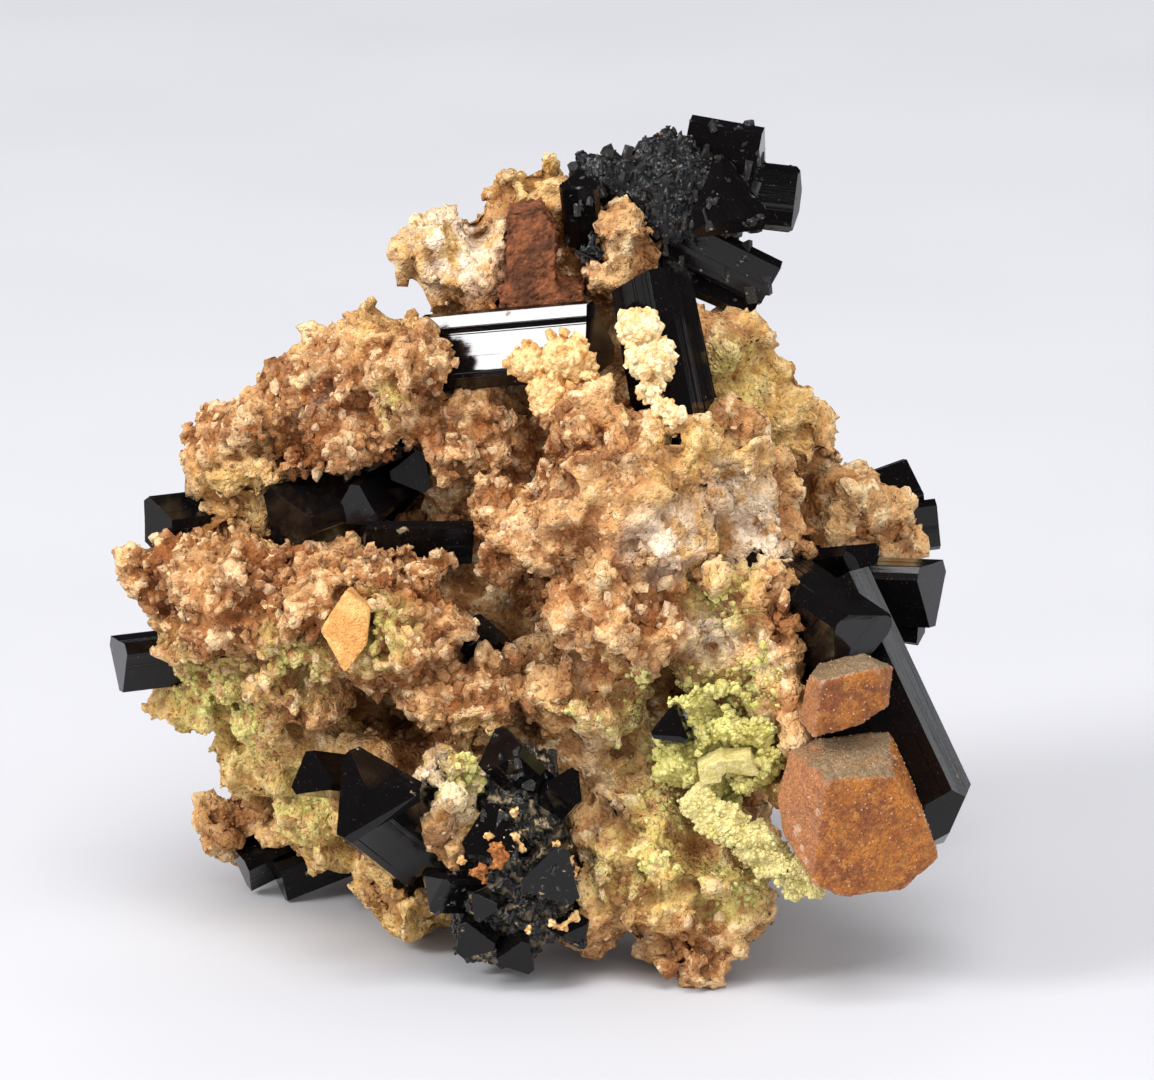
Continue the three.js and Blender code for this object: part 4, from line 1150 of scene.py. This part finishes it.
def crust_finish(name, light, dark):
    crust = Finish(name, Roughness=0.62, Specular_IOR_Level=0.35, Subsurface_Weight=0.15)
    crust.shader.inputs["Subsurface Radius"].default_value = (0.4 * MM, 0.4 * MM, 0.15 * MM)
    grains = crust.group(grain, {"Size": 0.12, "Contrast": 0.3})
    edge = crust.group(wear, {"Sharpness": 0.55})
    shade = crust.attribute("shade")
    color = crust.mix(linear(*light), linear(*dark), crust.patch(1.0, 0.45, 0.2, 4))
    color = crust.mix(color, PALE_KNOB, crust.math("MULTIPLY", shade, 0.4))
    # Painted shade: hollows between the knobs are a deeper green.
    color = crust.mix(color, DEEP_GREEN_SHADE, crust.math("MULTIPLY", edge.outputs["Hollows"], 0.4))
    color = crust.scaled(color, grains.outputs["Shade"])
    normal = crust.bump(grains.outputs["Height"], 0.04, 0.7)
    return crust.wear(color, normal=normal)


green_material = crust_finish("green_crust_knobs", (206, 196, 118), (172, 164, 82))
finger_material = crust_finish("green_finger_knobs", (210, 196, 134), (192, 178, 108))
print("green materials ready")

# %% [markdown]
# The crust is made of small round knobs that grew side by side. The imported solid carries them: it is grown
# a little and roughened, and knobs of three sizes are scattered over it so densely that little else shows.
# The finger that hangs out of the pocket has finer knobs.

# %% Green crust
CRUST_VOXEL = 0.2
knobs = collect("knobs", [
    knocked_ball("knob_1", 0.22, 51),
    knocked_ball("knob_2", 0.15, 52),
    knocked_ball("knob_3", 0.32, 53),
])
fine_knobs = collect("fine_knobs", [
    knocked_ball("small_knob_1", 0.18, 54),
    knocked_ball("small_knob_2", 0.13, 55),
    knocked_ball("small_knob_3", 0.24, 56),
])
knob_relief = noise_texture("knob_relief", "VORONOI", 1.0, **CREASED)


def knobbly(node, name, material, grains, spacing, growth, seed):
    """A crust node grown by some millimetres and covered by knobs."""
    core = copy_of(node, name)
    apply_modifier(core, "REMESH", mode="VOXEL", voxel_size=CRUST_VOXEL * MM, use_smooth_shade=True)
    displace(core, None, growth, 0)
    displace(core, knob_relief, 0.9, 0.55)
    displace(core, coat_lumps, 0.5, 0.5)
    keep_in_box(core)
    core.data.materials.append(material)
    cover = scatter(name + "_knobs", core, np.ones(len(core.data.vertices)), grains, spacing, 0.4, seed)
    cover.data.materials.append(material)
    settle(core, "crust", node)
    settle(cover, "crust")


knobbly("green_crust", "pocket_crust", green_material, knobs, 0.2, 0.2, 61)
knobbly("green_finger", "finger_crust", finger_material, fine_knobs, 0.17, 0.35, 71)

# %% [markdown]
# Knobs also grew on the rock itself: thick around the pocket, and a few where the rock has green dust.

# %% Green knobs on the rock
POCKET_GREEN = [((9, -10, 13.6), 4.6), ((6.2, -11.4, 16.6), 2.2), ((12.6, -9.8, 18), 2),
                ((4.4, -11.6, 14.6), 1.6)]
green_here = np.clip(influence(surface_points, GREEN) - 0.65, 0, 0.4)
green_here = np.maximum(green_here, np.clip(influence(surface_points, POCKET_GREEN) * 2 - 0.7, 0, 1))
green_grit = scatter("green_grit", rock, green_here * above_table, knobs, 0.25, 0.5, 83)
green_grit.data.materials.append(green_material)
settle(green_grit, "crust")

# %% [markdown]
# The last pieces are the rusty block, the tan plate, the pale tablets, and the crusts on the two upper
# prisms. Most of them share one earthy finish: two tones in soft patches, hollows darkened as painted
# shade, and fine grain.

# %% Earthy materials
# A dark brown laid into hollows as painted shade.
HOLLOW_SHADE = linear(60, 34, 18)


def earthy_finish(name, light, dark, size, grain_size):
    """Two tones, light and dark, in patches of a size in millimetres."""
    earth = Finish(name, Roughness=0.85, Specular_IOR_Level=0.3)
    grains = earth.group(grain, {"Size": grain_size, "Contrast": 0.4})
    edge = earth.group(wear, {"Sharpness": 0.53})
    color = earth.mix(linear(*light), linear(*dark), earth.patch(size, 0.5, 0.25, 5))
    # Painted shade: hollows are darkened.
    color = earth.mix(color, HOLLOW_SHADE, earth.math("MULTIPLY", edge.outputs["Hollows"], 0.6))
    color = earth.scaled(color, grains.outputs["Shade"])
    normal = earth.bump(grains.outputs["Height"], grain_size * 0.4, 0.9)
    return earth.wear(color, normal=normal)


rusty_skin = earthy_finish("rusty_skin", (128, 76, 47), (84, 50, 33), 1.2, 0.25)
tan_cleavage = earthy_finish("tan_cleavage", (226, 174, 108), (206, 144, 80), 1.5, 0.12)
cream_crust = earthy_finish("cream_crust", (250, 232, 186), (226, 184, 124), 1.0, 0.2)
sandy_crust = earthy_finish("sandy_crust", (236, 200, 142), (204, 150, 88), 1.0, 0.2)
print("earthy materials ready")

# %% [markdown]
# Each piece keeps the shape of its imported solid, made finer by a remesh and a small relief, so it still
# fits its place. The two crusts get a few more lumps, and crumbs are scattered over them.

# %% Small pieces
SMALL_PIECES = {
    "rusty_block": ("rust", rusty_skin, 0.16, 0.6),
    "tan_plate": ("tan", tan_cleavage, 0.14, 0.08),
    "prism_crust": ("tan", cream_crust, 0.12, 0.7),
    "plate_crust": ("tan", sandy_crust, 0.12, 0.7),
    "green_tablets": ("crust", finger_material, 0.12, 0.15),
}
small_crumbs = noise_texture("small_crumbs", "VORONOI", 0.5, **CREASED)

CRUMBLY = {"prism_crust": [((5.7, -4.4, 36.9), 1.3), ((6.5, -5.2, 35.2), 1.4)],
           "plate_crust": [((1.6, -4, 35), 1.4), ((-0.5, -3.7, 34.7), 1.1), ((0.8, -4.2, 33), 1.4)]}


def lumps_at(name, places):
    """Knocked balls at their places, as one object. places are (centre, radius) in millimetres."""
    balls = []
    for index, (centre, radius) in enumerate(places):
        ball = knocked_ball(name, radius, index + 200, levels=2, jitter=0.16)
        ball.data.transform(Matrix.Translation(Vector(centre) * MM))
        balls.append(ball)
    return join(name, balls)


for node, (slot, material, voxel, relief) in SMALL_PIECES.items():
    piece = copy_of(node, node + "_skin")
    if node in CRUMBLY:
        piece = join(node + "_skin", [piece, lumps_at(node + "_lumps", CRUMBLY[node])])
    apply_modifier(piece, "REMESH", mode="VOXEL", voxel_size=voxel * MM, use_smooth_shade=True)
    displace(piece, small_crumbs, relief, 0.1 if node in CRUMBLY else 0.4)
    keep_in_box(piece)
    piece.data.materials.append(material)
    settle(piece, slot, node)
    if node in CRUMBLY:
        everywhere = np.ones(len(piece.data.vertices))
        cover = scatter(node + "_crumbs", piece, everywhere, coarse_grains, 0.7, 0.35, 97)
        cover.data.materials.append(material)
        settle(cover, slot)

# %% [markdown]
# Rusty and tan crumbs stick to the splintery mass at the front. They are small lumps at their places,
# remeshed and roughened like the crusts above.

# %% Stains on the front mass
spot_material = earthy_finish("rust_spot", (178, 116, 62), (136, 78, 38), 0.5, 0.15)
STAIN_VOXEL = 0.1
STAINS = {
    "rust_spot": ("rust", spot_material,
                  [((-2.4, -13.9, 8.9), 0.6), ((-1.9, -14, 8.5), 0.5), ((-2.3, -13.9, 8.1), 0.5),
                   ((-3.2, -13.8, 7.7), 0.45), ((-3.7, -13.6, 7.4), 0.4), ((-3.1, -13.6, 7), 0.35)]),
    "tan_stains": ("tan", sandy_crust,
                   [((-1.5, -13.6, 9.5), 0.55), ((-1, -13.8, 8.9), 0.4), ((-2.8, -13.6, 9.6), 0.4),
                    ((-4.4, -13.2, 8), 0.4), ((1, -13.4, 9), 0.4), ((1.6, -13.4, 8.2), 0.5),
                    ((2, -13.4, 7.4), 0.4), ((1.4, -14.2, 4.4), 0.4), ((0.8, -14.4, 4.6), 0.35),
                    ((2, -13.8, 4.8), 0.45), ((-0.6, -14.2, 4.2), 0.35), ((-1.4, -13, 10.8), 0.4)]),
}
for name, (slot, material, places) in STAINS.items():
    stain = lumps_at(name, places)
    apply_modifier(stain, "REMESH", mode="VOXEL", voxel_size=STAIN_VOXEL * MM, use_smooth_shade=True)
    displace(stain, small_crumbs, 0.5, 0.4)
    stain.data.materials.append(material)
    settle(stain, slot)

# %% [markdown]
# The photo is taken on a plain pale surface that runs out of view. A big plane stands for it.

# %% Floor
FLOOR_SIZE = 6
PAPER, PAPER_SHADE = linear(198, 198, 202), linear(195, 195, 199)
bpy.ops.mesh.primitive_plane_add(size=FLOOR_SIZE, location=(0, 0, 0))
floor = bpy.context.object
floor.name = "pale_floor"
floor_finish = Finish("pale_floor", Roughness=0.7, Specular_IOR_Level=0.2)
soft_patches = floor_finish.patch(60, 0.5, 0.4, 2)
paper = floor_finish.mix(PAPER, PAPER_SHADE, soft_patches)
floor.data.materials.append(floor_finish.wear(paper))
print("floor ready")

# %% [markdown]
# The room lights everything softly. Polished black shows what it reflects and nothing else, so the room
# is nearly dark in reflections: otherwise every black face would turn grey.

# %% Room light
ROOM_LIGHT = 0.6
ROOM_IN_GLOSS = 0.02
world = bpy.data.worlds.new("studio")
bpy.context.scene.world = world
world.use_nodes = True
add, link = tree_nodes(world.node_tree)
room = world.node_tree.nodes["Background"]
room.inputs["Color"].default_value = (0.96, 0.97, 1.0, 1)
seen_in_gloss = add("ShaderNodeMapRange", {"To Min": ROOM_LIGHT, "To Max": ROOM_IN_GLOSS})
link(add("ShaderNodeLightPath").outputs["Is Glossy Ray"], seen_in_gloss.inputs["Value"])
link(seen_in_gloss.outputs["Result"], room.inputs["Strength"])
print("room ready")

# %% [markdown]
# Square lamps do the rest. The key lamp is reflected by the plate prism as a clear white face, so its
# place follows from that face: the light leaves the lamp, meets the face and reaches the camera. The
# big filling lamps aren't seen in reflections, for the same reason as the room.

# %% Lamps
def softbox(name, azimuth, elevation, distance, size, power, color=(1, 1, 1), glints=True):
    """A square lamp that faces the specimen, its distance and size in metres and its power in watts.

    Azimuth 0 is the camera's side and grows to the right.
    """
    a, e = math.radians(azimuth), math.radians(elevation)
    where = Vector((math.sin(a) * math.cos(e), -math.cos(a) * math.cos(e), math.sin(e)))
    bpy.ops.object.light_add(type="AREA", location=AIM + where * distance)
    lamp = bpy.context.object
    lamp.name = name
    lamp.rotation_euler = where.to_track_quat("Z", "Y").to_euler()
    lamp.data.shape = "SQUARE"
    lamp.data.size = size
    lamp.data.energy = power
    lamp.data.color = color
    lamp.visible_glossy = glints
    return lamp


softbox("key", -60, 33, 0.7, 0.22, 3.6)
softbox("top", 8, 62, 0.9, 0.6, 6.0, glints=False)
softbox("front", 20, 12, 0.9, 0.6, 2.4, glints=False)
softbox("left", -48, 8, 0.9, 0.5, 1.0, glints=False)
softbox("right", 96, 34, 0.8, 0.14, 0.3, (0.95, 0.97, 1.0))
softbox("back", 168, 30, 0.8, 0.5, 1.0, glints=False)
softbox("glint", -8, 74, 0.9, 0.2, 0.7)
bpy.context.scene.view_settings.view_transform = "Standard"
print("studio ready")
